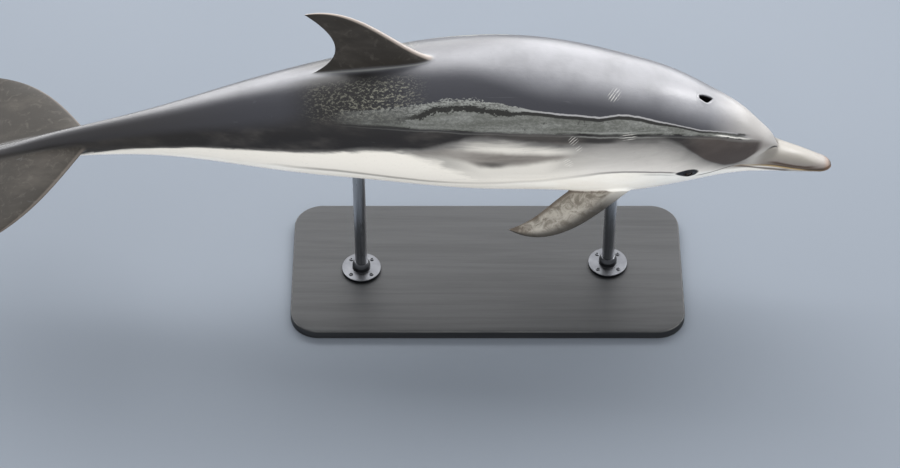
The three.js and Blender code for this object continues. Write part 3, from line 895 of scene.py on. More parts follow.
class Finish:
    """A material and short calls that add nodes to it."""

    def __init__(self, name, **surface):
        self.material = bpy.data.materials.new(name)
        self.material.use_nodes = True
        self.tree = self.material.node_tree
        self.surface = self.tree.nodes["Principled BSDF"]
        for socket, value in surface.items():
            self.surface.inputs[socket.replace("_", " ")].default_value = value

    def put(self, socket, value):
        """Links a node's output to a socket, or sets the socket to a number, a vector or a colour."""
        if isinstance(value, bpy.types.NodeSocket):
            self.tree.links.new(value, socket)
        elif hasattr(value, "__len__"):
            socket.default_value = (*value, 1)[: len(socket.default_value)]
        elif hasattr(socket.default_value, "__len__"):
            socket.default_value = (value,) * len(socket.default_value)
        else:
            socket.default_value = value

    def node(self, kind, *values, **settings):
        """A node with its settings, and its first inputs set or linked in order."""
        made = self.tree.nodes.new("ShaderNode" + kind)
        for key, setting in settings.items():
            setattr(made, key, setting)
        for socket, value in zip([s for s in made.inputs if s.enabled], values):
            if value is not None:
                self.put(socket, value)
        return made

    def math(self, operation, a, b=None, c=None):
        return self.node("Math", a, b, c, operation=operation).outputs[0]

    def add(self, *parts):
        return reduce(lambda a, b: self.math("ADD", a, b), parts)

    def times(self, *parts):
        return reduce(lambda a, b: self.math("MULTIPLY", a, b), parts)

    less = partialmethod(math, "SUBTRACT")
    over = partialmethod(math, "DIVIDE")
    size = partialmethod(math, "ABSOLUTE")
    power = partialmethod(math, "POWER")
    larger = partialmethod(math, "MAXIMUM")
    scaled = partialmethod(math, "MULTIPLY_ADD")  # a * b + c

    def sway(self, noise, reach):
        """Noise of 0 to 1 as a shift of -reach to reach."""
        return self.scaled(noise, 2 * reach, -reach)

    def rotated(self, x, y, degrees):
        """x cos a + y sin a, and y cos a - x sin a."""
        cosine, sine = math.cos(math.radians(degrees)), math.sin(math.radians(degrees))
        along = self.add(self.times(x, cosine), self.times(y, sine))
        return along, self.add(self.times(y, cosine), self.times(x, -sine))

    def read(self, attribute):
        return self.node("Attribute", attribute_name=attribute).outputs["Fac"]

    def split(self, attribute):
        vector = self.node("Attribute", attribute_name=attribute).outputs["Vector"]
        return self.node("SeparateXYZ", vector).outputs[:]

    def step(self, value, low, high, least=0.0, most=1.0):
        """least below low, most above high, with an S-shaped curve between."""
        made = self.node("MapRange", value, low, high, least, most, interpolation_type="SMOOTHSTEP")
        return made.outputs[0]

    def fall(self, value, low, high):
        """1 below low, 0 above high, S-shaped."""
        return self.step(value, low, high, 1.0, 0.0)

    def near(self, value, middle, width):
        """1 where value is at middle, falling to 0 at width from it, S-shaped."""
        return self.fall(self.size(self.less(value, middle)), 0.0, width)

    def between(self, value, start, end, soft):
        """1 between start and end, 0 outside, S-shaped over soft at both ends."""
        return self.times(self.step(value, start - soft, start + soft), self.fall(value, end - soft, end + soft))

    def either(self, amount, below, above):
        """One value where amount is 0, another where it is 1."""
        return self.node("Mix", amount, below, above, data_type="FLOAT").outputs[0]

    def cover(self, below, colour, *amounts):
        """A colour laid over the one below, by the product of amounts from 0 to 1."""
        made = self.node("Mix", data_type="RGBA", clamp_factor=True)
        values = (self.times(*amounts), below, colour)
        for socket, value in zip((made.inputs[0], made.inputs[6], made.inputs[7]), values):
            self.put(socket, value)
        return made.outputs[2]

    def coats(self, below, *rows):
        """Colours laid one over another: each row is a colour and its amounts."""
        for colour, *amounts in rows:
            below = self.cover(below, colour, *amounts)
        return below

    def noise(self, scale, detail=2.0, roughness=0.5, stretch=None, distortion=0.0):
        """Noise on Object coordinates, 0 to 1; stretch shortens the pattern along each axis."""
        where = self.node("TexCoord").outputs["Object"]
        if stretch:
            where = self.node("Mapping", where, None, None, stretch).outputs[0]
        made = self.node("TexNoise", noise_dimensions="3D")
        values = {"Vector": where, "Scale": scale, "Detail": detail, "Roughness": roughness, "Distortion": distortion}
        for socket, value in values.items():
            self.put(made.inputs[socket], value)
        return made.outputs["Fac"]

    def done(self, paint, roughness=None, bumps=()):
        """Links colour, roughness and bumps to the surface. Each bump is a height, its size in metres and its
        strength, laid over the one before."""
        self.put(self.surface.inputs["Base Color"], paint)
        if roughness is not None:
            self.put(self.surface.inputs["Roughness"], roughness)
        normal = None
        for height, distance, strength in bumps:
            made = self.node("Bump")
            self.put(made.inputs["Height"], height)
            made.inputs["Distance"].default_value = distance
            made.inputs["Strength"].default_value = strength
            if normal:
                self.put(made.inputs["Normal"], normal)
            normal = made.outputs[0]
        if normal:
            self.put(self.surface.inputs["Normal"], normal)
        return self.material


# Noise in the skin: scale, detail, roughness, stretch along each axis and distortion.
SKIN_NOISE = {
    "cloud": (5.0, 4.0, 0.6),
    "speckle": (160.0, 2.0, 0.6),
    "streak": (14.0, 4.0, 0.6, (0.35, 1.0, 1.0)),
    "hair": (42.0, 4.0, 0.62, (0.14, 1.0, 1.0), 0.3),
    "blotch": (38.0, 4.0, 0.7, None, 0.8),
    "grain": (220.0, 3.0, 0.7, (0.6, 1.0, 1.0), 0.3),
    "scratches": (24.0, 5.0, 0.65, (0.25, 3.0, 3.0), 0.6),
    "ripple": (42.0, 3.0, 0.55),
}
# Shifts of the markings' edges: noise as above, and how far it moves them, in metres.
EDGE_NOISE = {"waver": ((9.0, 3.0, 0.55), 0.008), "fine": ((70.0, 3.0, 0.6), 0.0015)}


def skin_finish(colours):
    """The animal's wet skin, painted from the belly up: each marking is laid over the last between S-shaped
    edges at a distance from its line, and noise moves the edges a few millimetres.

    Every coat below reads the parts of the skin's attributes and the noise, and returns the paint with its own
    marking on it. Stations in the coats are in metres from the beak tip, like all stations.
    """
    f = Finish("Wet dolphin skin", IOR=1.40)
    at = SimpleNamespace(crease=f.read("crease"))
    for attribute, parts in SKIN_ATTRIBUTES.items():
        for part, socket in zip(parts, f.split(attribute)):
            setattr(at, part, socket)
    noise = SimpleNamespace(**{name: f.noise(*row) for name, row in SKIN_NOISE.items()})
    for name, (row, reach) in EDGE_NOISE.items():
        setattr(noise, name, f.sway(f.noise(*row), reach))
    noise.edge = f.add(noise.waver, noise.fine)
    # torn is the painted water film's lower edge, moved by noise; filmed is where that painted reflection lies.
    at.torn = f.add(f.times(noise.waver, 0.6), noise.fine, at.film_bottom)
    at.filmed = f.times(f.between(at.station, 0.245, 1.16, 0.05), f.step(at.station, 0.97, 1.12, 1.0, 0.55))

    paint = colours.belly
    for coat in SKIN_COATS:
        paint = coat(f, colours, paint, at, noise)
    flukes_duller = f.times(f.step(at.station, 1.72, 1.82), f.step(at.fin, 0.2, 1.0, 0.0, 0.45))
    roughness = f.add(f.scaled(noise.streak, 0.20, 0.26), flukes_duller)
    bumps = [(noise.scratches, 0.0004, 0.5), (noise.ripple, 0.0012, 0.35), (noise.speckle, 0.0002, 0.5)]
    return f.done(paint, roughness, bumps)


def belly_paint(f, colours, paint, at, noise):
    """White below, duller in streaks, with a little blue-grey under the throat."""
    return f.coats(
        paint,
        (colours.belly_shade, f.step(noise.streak, 0.35, 0.7)),
        (colours.throat, f.between(at.station, 0.24, 0.46, 0.08), 0.35),
    )


def flank_paint(f, colours, paint, at, noise):
    """From the cape's edge down to the stripe the flank pales evenly on the face, and at once behind it, where
    the blaze runs; under the back fin it turns cream-white, with a slanted and mottled front."""
    station = at.station
    share = f.add(f.over(at.cape, f.less(at.cape, at.stripe)), f.sway(noise.hair, 0.18))
    blaze = f.times(
        f.step(station, 0.58, 0.72), f.step(share, -0.02, 0.24, 0, 0.74), f.step(station, 0.84, 0.96, 1, 0.45)
    )
    lightness = f.times(f.larger(share, blaze), f.step(station, 0.22, 0.32, 0.64, 1))
    lightness = f.larger(lightness, f.step(station, 0.2, 0.26, 0.45, 0))
    behind = f.add(f.scaled(share, 0.22, station), f.sway(noise.hair, 0.04))
    depth = f.over(f.add(share, 0.02), f.step(station, 0.98, 1.06, 0.42, 0.16))
    rear = f.times(f.step(behind, 0.985, 1.075), f.step(depth, 0, 1, 0, 0.95))
    flank = f.cover(colours.flank, colours.belly_shade, f.step(station, 0.55, 0.72))
    pale = f.cover(colours.face, flank, f.larger(lightness, rear))
    return f.cover(paint, pale, f.fall(f.add(at.stripe, f.times(noise.waver, 0.5)), -0.004, 0.006))


def wedge_paint(f, colours, paint, at, noise):
    """The brown-grey wedge that lies across the blaze, with a dark spot at the rear of its lower edge."""
    station = at.station
    lower = f.add(at.wedge_bottom, noise.edge)
    return f.coats(
        paint,
        (
            colours.wedge, f.step(f.add(at.wedge_top, noise.edge), -0.006, 0.012), f.fall(lower, -0.014, 0.006),
            f.step(station, 0.58, 0.68), f.step(station, 0.84, 0.97, 1, 0.6), f.fall(station, 0.99, 1.04),
            f.step(noise.hair, 0.2, 0.62, 1, 0.8),
        ),
        (colours.cape_side, f.near(lower, -0.008, 0.018), f.between(station, 0.8, 0.86, 0.035), 0.7),
    )


def stripe_paint(f, colours, paint, at, noise):
    """The thin dark line from eye to vent, with a fainter one beside it on the head."""
    station = at.station
    off = f.add(at.stripe, f.times(noise.waver, 0.5))
    line = f.fall(f.over(f.size(off), f.step(station, 0.5, 0.7, 0.0038, 0.009)), 0.1, 1.2)
    strength = f.add(f.step(station, 0.5, 0.66, 0.85, 0.26), f.step(station, 0.85, 1.05, 0, 0.35))
    return f.coats(
        paint,
        (colours.stripe, f.step(station, 0.385, 0.41), f.fall(station, 1.2, 1.42), strength, line),
        (colours.stripe, f.near(off, 0.009, 0.004), f.between(station, 0.4, 0.47, 0.02), 0.45),
    )


def cape_paint(f, colours, paint, at, noise):
    """The dark cape, with a softer edge behind the flipper, and painted shade in dark strips on the flank under its
    film.
    """
    station, torn = at.station, at.torn
    softness = f.add(f.step(station, 0.36, 0.44, 0.0028, 0.0075), f.step(station, 0.19, 0.23, 0.006, 0))
    moved = f.add(at.cape, f.times(noise.edge, f.step(station, 0.35, 0.7, 0.25, 1)))
    colour = cape_ground(f, colours, at, noise)
    for coat in (film_reflection_paint, torn_edge_paint):
        colour = coat(f, colours, colour, at, noise)
    colour = f.cover(colour, colours.fin, f.step(station, 1.3, 1.75, 0, 0.5))
    # Painted shade: band and the coat after it darken the flank in strips just under the film's lower edge.
    band = f.between(f.add(torn, f.times(noise.fine, -0.5)), 0.0064, 0.019, 0.004)
    band_depth = f.add(f.between(station, 0.558, 0.636, 0.018), f.times(f.between(station, 0.46, 0.54, 0.02), 0.45))
    return f.coats(
        paint,
        (colour, f.fall(f.over(moved, softness), -1, 1)),
        (colours.cape_side, band, band_depth, 0.85),
        (colours.cape_side, f.between(torn, 0.003, 0.018, 0.0045), f.between(station, 0.65, 0.83, 0.03), 0.5),
    )


def cape_ground(f, colours, at, noise):
    """The cape without its film: pale on top of the forehead, grey on top of the back, dark where it turns
    down, nearly black lower still, and mottled with pale flecks under the back fin. The paler top of the forehead
    and of the back is partly painted sheen."""
    station, down, grain = at.station, at.down, noise.grain
    # Painted sheen, in part: the back's grey on top is lighter than the cape's own dark and turns darker as the skin
    # turns down, over a span that shifts with the station.
    turn = f.add(down, f.step(station, 0.7, 0.92, -8, 8))
    # The forehead's pale top is partly painted sheen as well.
    melon = f.cover(colours.melon, colours.cheek, f.step(down, 10, 28), f.step(station, 0.21, 0.26, 0.5, 0))
    top = f.coats(
        colours.back,
        (colours.back_side, f.step(turn, 5, 29)),
        (colours.back_side, f.step(noise.cloud, 0.4, 0.66), 0.35),
        (melon, f.fall(station, 0.22, 0.36)),
        (colours.cape_side, f.between(station, 1.06, 1.26, 0.06), f.step(down, 3, 12)),
    )
    low = f.coats(
        colours.cape_side,
        (colours.wedge, f.step(noise.streak, 0.45, 0.75), 0.3),
        (colours.wedge, f.between(station, 0.6, 0.82, 0.06), f.step(noise.hair, 0.35, 0.65, 0.1, 0.45)),
        (colours.cheek, f.step(station, 0.34, 0.42, 0.45, 0)),
        (melon, f.fall(station, 0.19, 0.215)),
    )
    under_film = f.step(f.add(at.film_bottom, f.times(noise.edge, 0.5)), -0.006, 0.006)
    rear_low = f.step(f.add(f.scaled(down, 0.0015, -0.078), noise.waver), -0.02, 0.02)
    mottled = f.times(f.between(station, 1.00, 1.24, 0.04), f.between(down, 18, 50, 8))
    return f.coats(
        top,
        (low, f.either(f.step(station, 0.98, 1.1), under_film, rear_low)),
        (colours.cape_side, mottled, f.step(grain, 0.32, 0.48, 0.75, 0.1)),
        (colours.fleck, mottled, f.step(grain, 0.5, 0.62), f.step(station, 1.08, 1.2, 0.75, 0.4)),
    )


def film_reflection_paint(f, colours, paint, at, noise):
    """The olive film over the shoulder, a painted reflection of a sheet of water: streaked and blotched, with a
    light line of painted highlight over a dark one along its top, ragged under the back fin. At its front a white
    line of painted highlight runs along its bottom, with a dark one over it."""
    station, hair, grain, torn = at.station, noise.hair, noise.grain, at.torn
    ragged = f.step(station, 0.74, 0.84)
    tatters = f.add(f.sway(hair, 0.015), f.sway(grain, 0.012))
    edge = f.add(f.times(tatters, ragged), noise.fine, at.film_top)
    light_width = f.add(f.step(station, 0.42, 0.5, 0.0024, 0.0038), f.times(ragged, 0.013))
    dark_width = f.add(f.step(station, 0.42, 0.5, 0.0044, 0.0076), f.times(ragged, 0.004))
    below_light = f.less(edge, light_width)
    lined = f.step(station, 0.99, 1.06, 1, 0.15)
    broken = f.step(grain, 0.4, 0.6, f.step(ragged, 0, 1, 1, 0.35), 1)
    film = f.coats(
        colours.film,
        (colours.film_pale, f.step(hair, 0.35, 0.68)),
        (colours.film_dark, f.step(grain, 0.44, 0.6, 0.3, 0)),
        (colours.film_dark, f.step(noise.blotch, 0.6, 0.7), f.step(station, 0.42, 0.5, 0.2, 0.8)),
        (
            colours.film_dark, f.fall(f.less(below_light, dark_width), -0.0012, 0.0012),
            f.step(station, 0.3, 0.37, 0.6, 1), lined,
        ),
        (
            f.cover(colours.film_line, colours.film_pale, f.step(station, 0.7, 0.8)),
            f.fall(below_light, -0.001, 0.001), lined, broken,
        ),
        # Painted highlight: a white line along the front of the film's lower edge.
        (colours.belly, f.near(torn, -0.0036, 0.003), f.between(station, 0.235, 0.325, 0.015)),
    )
    return f.coats(
        paint,
        (film, f.step(edge, -0.001, 0.001), f.fall(torn, -0.0015, 0.0015), at.filmed),
        # Dark marks over that white line, painted as part of the water's reflection.
        (colours.back_side, f.near(torn, -0.011, 0.005), f.between(station, 0.242, 0.28, 0.012), 0.4),
        (colours.film_dark, f.near(torn, -0.0116, 0.0042), f.between(station, 0.252, 0.273, 0.004), 0.9),
    )


def torn_edge_paint(f, colours, paint, at, noise):
    """The film's torn lower edge, painted as part of the water's reflection: a black line, bold over the flipper,
    between two pale lines of painted highlight.
    """
    torn = at.torn
    bold = f.between(at.station, 0.47, 0.66, 0.04)
    off = f.over(f.size(f.add(torn, 0.0012)), f.step(bold, 0, 1, 0.0022, 0.0027))
    broken = f.step(noise.hair, 0.36, 0.5, 1, f.step(bold, 0, 1, 0.25, 0.7))
    pale = f.larger(f.near(torn, 0.0045, 0.0026), f.near(torn, -0.007, 0.0026))
    return f.coats(
        paint,
        (colours.film_pale, pale, at.filmed, f.step(bold, 0, 1, 0.2, 0.75)),
        (colours.crease, f.fall(off, 0.5, 1.1), broken, at.filmed),
    )


def beak_paint(f, colours, paint, at, noise):
    """The beak, pale above, pinkish grey at the sides and cream under the jaw, with brown lips, a yellow-brown
    line under them, and a brown tip. Behind, the sides are lightened towards the top's colour, a painted highlight
    under the forehead's crease; at the front the jaw just under the lip is darkened with painted shade."""
    station, above_mouth = at.station, at.above_mouth
    height = f.add(above_mouth, noise.fine)
    # Painted highlight: behind station 0.135 the side turns towards the top's paler colour, under the forehead's
    # crease.
    side = f.cover(colours.beak_side, colours.beak_top, f.step(station, 0.135, 0.18, 0, 0.7))
    beak = f.coats(
        colours.beak_top,
        (side, f.fall(height, 0.006, 0.02)),
        (colours.lip, f.near(height, 0.0075, 0.0045), f.between(station, 0.045, 0.16, 0.02)),
        (colours.belly, f.fall(above_mouth, -0.007, -0.003)),
    )
    before_corner = f.fall(station, 0.235, 0.262)
    # Painted shade on the jaw just under the lip, at the front of the beak.
    jaw_lip_shade = f.times(f.fall(above_mouth, -0.008, -0.004), f.fall(at.down, 116, 128))
    round_tip = f.times(f.step(above_mouth, -0.01, -0.002), f.fall(station, 0.055, 0.085))
    return f.coats(
        paint,
        (beak, f.fall(at.crease, -0.003, 0.003), f.fall(station, 0.175, 0.215)),
        (colours.lip, f.near(height, 0.0035, 0.0045), before_corner, f.step(station, 0.12, 0.19, 0.8, 0.05)),
        (colours.chin, f.near(height, -0.0025, 0.005), before_corner, f.step(station, 0.14, 0.19, 0.9, 0.35)),
        (colours.lip, jaw_lip_shade, f.step(station, 0.11, 0.135, 0.65, 0)),
        (colours.lip, round_tip, f.fall(above_mouth, 0.001, 0.006), 0.8),
        (colours.tip_ring, f.fall(station, 0.01, 0.026), 0.7),
        (colours.lip, f.fall(station, 0.006, 0.014), f.step(above_mouth, -0.001, 0.003), 0.85),
    )


def mouth_paint(f, colours, paint, at, noise):
    """Painted shade in the crease under the forehead and in the seam of the mouth, which fades along the lips and
    runs on behind their corner as a fold; and a dark line under the chin."""
    station, down, above_mouth = at.station, at.down, at.above_mouth
    under_chin = f.add(above_mouth, f.step(station, 0.15, 0.26, 0.015, 0.003))
    under_chin = f.near(f.over(under_chin, f.step(station, 0.14, 0.2, 0.013, 0.006)), 0, 1)
    seam = f.near(above_mouth, 0, f.step(station, 0.245, 0.27, 0.002, 0.0032))
    strength = f.add(f.step(station, 0.15, 0.19, 1, 0.1), f.step(station, 0.24, 0.265, 0, 0.8))
    seam_colour = f.cover(colours.crease, colours.stripe, f.step(station, 0.23, 0.27))
    return f.coats(
        paint,
        # Painted shade in the forehead's crease.
        (
            colours.crease, f.step(down, 6, 12), f.fall(down, 18, 40),
            f.fall(f.size(at.crease), 0.0012, 0.0046), 0.92,
        ),
        (colours.lip, under_chin, f.between(station, 0.105, 0.245, 0.015), 0.92),
        (seam_colour, seam, strength, f.fall(station, 0.325, 0.35)),
    )


def eye_patch_paint(f, colours, paint, at, noise):
    """The eye's dark patch, an oval |x / a|^2.2 + |y / b|^2 < 1 whose front end is raised."""
    along, across = f.rotated(f.times(at.eye_along, -1), at.eye_across, PATCH_TILT)
    reach = f.over(f.size(f.add(along, noise.fine)), f.step(along, -0.01, 0.01, 0.03, 0.028))
    drop = f.over(f.size(across), f.step(along, -0.03, 0.01, 0.008, 0.014))
    oval = f.add(f.power(reach, 2.2), f.power(drop, 2), f.times(noise.edge, 10))
    return f.cover(paint, colours.eye_patch, f.fall(oval, 0.7, 1.15))


def fin_paint(f, colours, paint, at, noise):
    """Fins: the back fin and the flukes dark brown with a paler front edge, partly rubbed and partly a painted
    highlight, the flippers grey-brown with dark front and back edges and a dark line at the root, and a thin pale
    line along the back fin's root."""
    station, fin, chord, blotch = at.station, at.fin, at.chord, noise.blotch
    edge = f.over(chord, f.step(fin, 1, 1.5, 0.55, 1))
    dark = f.coats(
        colours.fin,
        (colours.fin_patch, f.step(noise.streak, 0.45, 0.75, 0, 0.5)),
        (colours.fin_patch, f.step(blotch, 0.52, 0.68, 0, 0.45)),
        (colours.fin_rubbed, f.fall(edge, 0.015, 0.055), f.step(station, 1.5, 1.6, 0.85, 0.25)),
    )
    back = f.larger(f.step(chord, 0.8, 0.95), f.step(f.scaled(blotch, 0.2, fin), 1.6, 2.00))
    grey = f.coats(
        colours.flipper,
        (colours.flipper_shade, f.step(blotch, 0.38, 0.62)),
        (colours.flipper_edge, back, 0.75),
        (colours.fin, f.step(f.scaled(blotch, 0.12, chord), 0.08, 0.44, 0.95, 0)),
        (colours.flipper_edge, f.near(fin, 0.8, 0.3), f.step(chord, 0.15, 0.4, 0, 0.6)),
    )
    behind = f.step(station, 0.8, 0.84)
    begin = f.either(behind, f.step(chord, 0.15, 0.42, 0.84, 0.15), 0.3)
    reached = f.over(f.less(fin, begin), f.either(behind, 0.32, 0.7))
    root_line = f.times(f.near(fin, 0.45, 0.24), f.between(station, 0.97, 1.22, 0.03))
    return f.coats(
        paint,
        (f.cover(grey, dark, behind), f.step(reached, 0, 1)),
        (colours.film_pale, root_line, f.step(at.down, 30, 40, 0.6, 0)),
    )


def rake_paint(f, colours, paint, at, noise):
    """Sets of short pale scratches on the right side: waves of a sine across each oval, fading out towards its
    rim."""
    marks = 0.0
    for station, angle, length, width, turn in RAKE_MARKS:
        round_side = f.scaled(at.down, DEGREE_ARC, -angle * DEGREE_ARC)
        along, across = f.rotated(f.add(at.station, -station), round_side, turn)
        oval = f.add(f.power(f.times(along, 1 / length), 2), f.power(f.times(across, 1 / width), 2))
        wave = f.math("SINE", f.times(f.add(across, noise.fine), 2 * math.pi / RAKE_PITCH))
        marks = f.larger(marks, f.times(f.step(wave, 0.1, 0.9), f.fall(oval, 0.1, 1)))
    patchy = f.step(noise.blotch, 0.3, 0.6, 0.1, 0.45)
    return f.cover(paint, colours.belly, marks, f.fall(at.side, -0.1, 0), patchy)


def hollow_shade_and_wear_paint(f, colours, paint, at, noise):
    """Painted shade, black inside the blowhole and behind the lids, and faint scratches and specks over everything."""
    return f.coats(
        paint,
        (colours.crease, f.step(at.pit, 0.1, 0.9)),
        (colours.back, f.step(noise.scratches, 0.66, 0.74, 0, 0.16)),
        (colours.eye_patch, f.step(noise.speckle, 0.6, 0.85, 0, 0.14)),
    )


SKIN_COATS = (
    belly_paint, flank_paint, wedge_paint, stripe_paint, cape_paint, beak_paint, mouth_paint, eye_patch_paint,
    fin_paint, rake_paint, hollow_shade_and_wear_paint,
)


def eye_finish(colours):
    """The eyeball: a black pupil in a dark brown iris with faint rays, and a darker rim, under a wet surface."""
    f = Finish("Wet dark eye", Roughness=0.1, IOR=1.4, Coat_Weight=1.0, Coat_Roughness=0.02, Coat_IOR=1.38)
    across, upward, polar = f.split("gaze")
    rays = f.math("SINE", f.times(f.math("ARCTAN2", upward, across), 46))
    wide, tall = (f.size(f.over(part, reach)) for part, reach in ((across, 0.3), (upward, 0.2)))
    pupil = f.add(f.power(wide, 2), f.power(tall, 2))
    paint = f.coats(
        colours.iris,
        (colours.eye_patch, f.step(rays, -1, 1), 0.4),
        (colours.crease, f.step(polar, 0.155, 0.175)),
        (colours.crease, f.fall(pupil, 0.8, 1.1)),
    )
    return f.done(paint, None, [(f.noise(300, 2), 0.0001, 0.1)])


def board_finish(colours):
    """Satin charcoal lacquer over a fine-grained board: grain and pores drawn out along X, a little change of
    sheen, and paler worn edges."""
    f = Finish("Charcoal lacquered board", IOR=1.3)
    grain = f.noise(18, 6, 0.65, stretch=(0.12, 3, 3), distortion=0.4)
    pores = f.noise(220, 3, 0.7, stretch=(0.06, 1, 1))
    paint = f.coats(
        colours.board,
        (colours.board_grain, f.step(grain, 0.35, 0.7)),
        (colours.eye_patch, f.step(pores, 0.58, 0.72), 0.35),
        (colours.board_worn, f.read("arris"), f.step(grain, 0.4, 0.62, 0.15, 0.6)),
    )
    return f.done(paint, f.scaled(grain, 0.16, 0.4), [(pores, 0.0003, 0.5), (grain, 0.0004, 0.3)])


def steel_finish(name, light, dark, least_roughness, stretch):
    """Brushed or turned steel: fine lines drawn out along the stretch that is given, and faint smudges."""
    f = Finish(name, Metallic=1.0, IOR=1.5)
    lines = f.noise(160, 4, 0.7, stretch=stretch)
    smudge = f.noise(22, 3, 0.55)
    roughness = f.scaled(f.add(lines, smudge), 0.16, least_roughness)
    return f.done(f.cover(light, dark, f.step(lines, 0.3, 0.7)), roughness, [(lines, 0.0001, 0.5)])


def rubber_finish(colours):
    """Dark matt rubber with a fine grain."""
    f = Finish("Soft black rubber", IOR=1.45)
    grain = f.noise(900, 2, 0.6)
    paint = f.cover(colours.rubber, colours.eye_patch, f.step(grain, 0.35, 0.65))
    return f.done(paint, f.scaled(grain, 0.2, 0.6), [(grain, 0.0002, 0.5)])


def floor_finish(colours):
    """Pale matt floor with a very faint unevenness."""
    f = Finish("Pale studio floor", Specular_IOR_Level=0.0)
    paint = f.cover(colours.floor, colours.floor_shade, f.noise(1.3, 3, 0.5))
    return f.done(paint, f.scaled(f.noise(3, 2), 0.1, 0.75))


# ---- Eyes and stand ------------------------------------------------------------------------------------------

EYE_RINGS = 40
EYE_POINTS = 64
EYE_CROWDING = 1.3  # how far the eyeball's rings crowd towards its front
BOARD_EDGE_RINGS = 7
BOARD_FACE_RINGS = 10
BELLY_START = 0.15  # how far below the axis the search for the belly begins


def eyeball(side):
    """A ball in a grid of polar angle and turn: centre + R (sin p cos t, sin p sin t, cos p). Its finish reads
    the first two of these and the polar angle's share of a half turn."""
    centre, forward, upward, outward = eye_axes(side)

    def ball(p, t):
        x, y, z, share = np.broadcast_arrays(np.sin(p) * np.cos(t), np.sin(p) * np.sin(t), np.cos(p), p / math.pi)
        at = centre + EYE_RADIUS * (x[..., None] * forward + y[..., None] * upward + z[..., None] * outward)
        return at, np.stack([x, y, share], -1)

    polar = math.pi * (np.linspace(0, 1, EYE_RINGS + 2)[1:-1] ** EYE_CROWDING)[:, None]
    points, gaze = ball(polar, 2 * math.pi * np.arange(EYE_POINTS) / EYE_POINTS)
    ends, end_gaze = ball(np.array([0, math.pi]), np.zeros(2))
    return points, ends, np.concatenate([gaze.reshape(-1, 3), end_gaze])


def closed_grid(points, ends, inward=False):
    """Points, quads and triangles of a grid of rings closed onto a point at both ends."""
    rows, columns = points.shape[:2]
    count = rows * columns
    quads = grid_faces(rows, columns)
    first = fan_faces(np.arange(columns)[::-1], count)
    last = fan_faces(np.arange(columns) + count - columns, count + 1)
    if inward:
        quads, first, last = quads[:, ::-1], first[:, ::-1], last[:, ::-1]
    return np.concatenate([points.reshape(-1, 3), ends]), quads, np.concatenate([first, last])


def turned(profile, centre, columns, lifted=None, shape=None):
    """A profile of (radius, height) carried round a vertical line: x = r cos t, y = r sin t, z = height. The
    profile runs up the outside, and its first and last points are on the line. A shape gives a factor of the
    radius for each turn. The heights of the points from number lifted on are counted from the skin's underside."""
    radius, height = np.array(profile, float).T
    turn = 2 * math.pi * np.arange(columns) / columns
    reach = radius[1:-1, None] * (np.ones(columns) if shape is None else shape(turn, len(radius) - 2))
    points = np.stack([
        centre[0] + reach * np.cos(turn), centre[1] + reach * np.sin(turn), height[1:-1, None] + 0 * reach
    ], -1)
    ends = np.array([(*centre, height[0]), (*centre, height[-1])])
    if lifted is not None:
        for part in (points[max(lifted - 1, 0) :], ends[min(lifted, 1) :]):
            part[..., 2] += belly_height(part[..., 0], part[..., 1])
    return closed_grid(points, ends)


def rounded(corners, radius, steps=4):
    """A profile whose inner corners are cut off by small quadratic curves of about the radius given."""
    corners = np.array(corners, float)
    made = [corners[:1]]
    t = np.linspace(0, 1, steps + 1)[:, None]
    for before, corner, after in zip(corners[:-2], corners[1:-1], corners[2:]):
        back, ahead = before - corner, after - corner
        cut = min(radius, 0.45 * np.linalg.norm(back), 0.45 * np.linalg.norm(ahead))
        start, end = corner + back / np.linalg.norm(back) * cut, corner + ahead / np.linalg.norm(ahead) * cut
        made.append(corner_curve(start, corner, end, t))
    made.append(corners[-1:])
    return np.concatenate(made)


def belly_height(x, y):
    """Height of the skin's underside over a place on the floor: the height is moved until it meets the skin."""
    z = np.interp(-x, -AXIS_X, AXIS_Z) - BELLY_START
    for _ in range(HEIGHT_PASSES + 4):
        station, angle, radius = locate(np.stack([x, y, z], -1))
        z = z + radius - skin_radius(station, angle)
    return z


def rod_place(station):
    """Where a rod stands on the floor, and the height of the belly over it."""
    belly = skin_point(np.array(station), np.array(-math.pi / 2))
    return belly[:2], belly[2]


def board_mesh(settings):
    """The board: a rounded rectangle carried up its edge. A ring's point is corner centre + r (cos t, sin t),
    spread along the straight sides, and r and height follow the edge's rounded profile. The flat faces are
    rings drawn in towards the middle. The last array says how much each point is rubbed."""
    thickness, arris = BOARD["thickness"], settings.board_arris
    corner = BOARD["corner"] - arris
    turn = 2 * math.pi * (np.arange(settings.board_points) + 0.5) / settings.board_points
    at = np.stack([np.cos(turn), np.sin(turn)], -1)
    middle = np.sign(at) * np.array([BOARD["length"] / 2 - BOARD["corner"], BOARD["width"] / 2 - BOARD["corner"]])
    quarter = np.linspace(0, math.pi / 2, BOARD_EDGE_RINGS)
    edge = [(corner + arris * math.sin(q), arris - arris * math.cos(q), math.sin(2 * q)) for q in quarter]
    edge += [(reach, thickness - z, rubbed) for reach, z, rubbed in edge[::-1]]
    shares = np.linspace(0.12, 0.94, BOARD_FACE_RINGS)
    rows = [(share * (middle + at * corner), 0.0, 0.0) for share in shares]
    rows += [(middle + at * reach, z, rubbed) for reach, z, rubbed in edge]
    rows += [(share * (middle + at * corner), thickness, 0.0) for share in shares[::-1]]
    points = np.array([np.column_stack([p[:, 0] + BOARD["centre"], p[:, 1], np.full(len(p), z)]) for p, z, _ in rows])
    ends = np.array([(BOARD["centre"], 0, 0), (BOARD["centre"], 0, thickness)])
    worn = np.concatenate([np.repeat([rubbed for _, _, rubbed in rows], len(turn)), [0, 0]])
    return (*closed_grid(points, ends), worn)


def hexagon(turn):
    """Radius of a hexagon of unit inner radius, at each turn."""
    return 1 / np.cos((turn + math.pi / 6) % (math.pi / 3) - math.pi / 6)


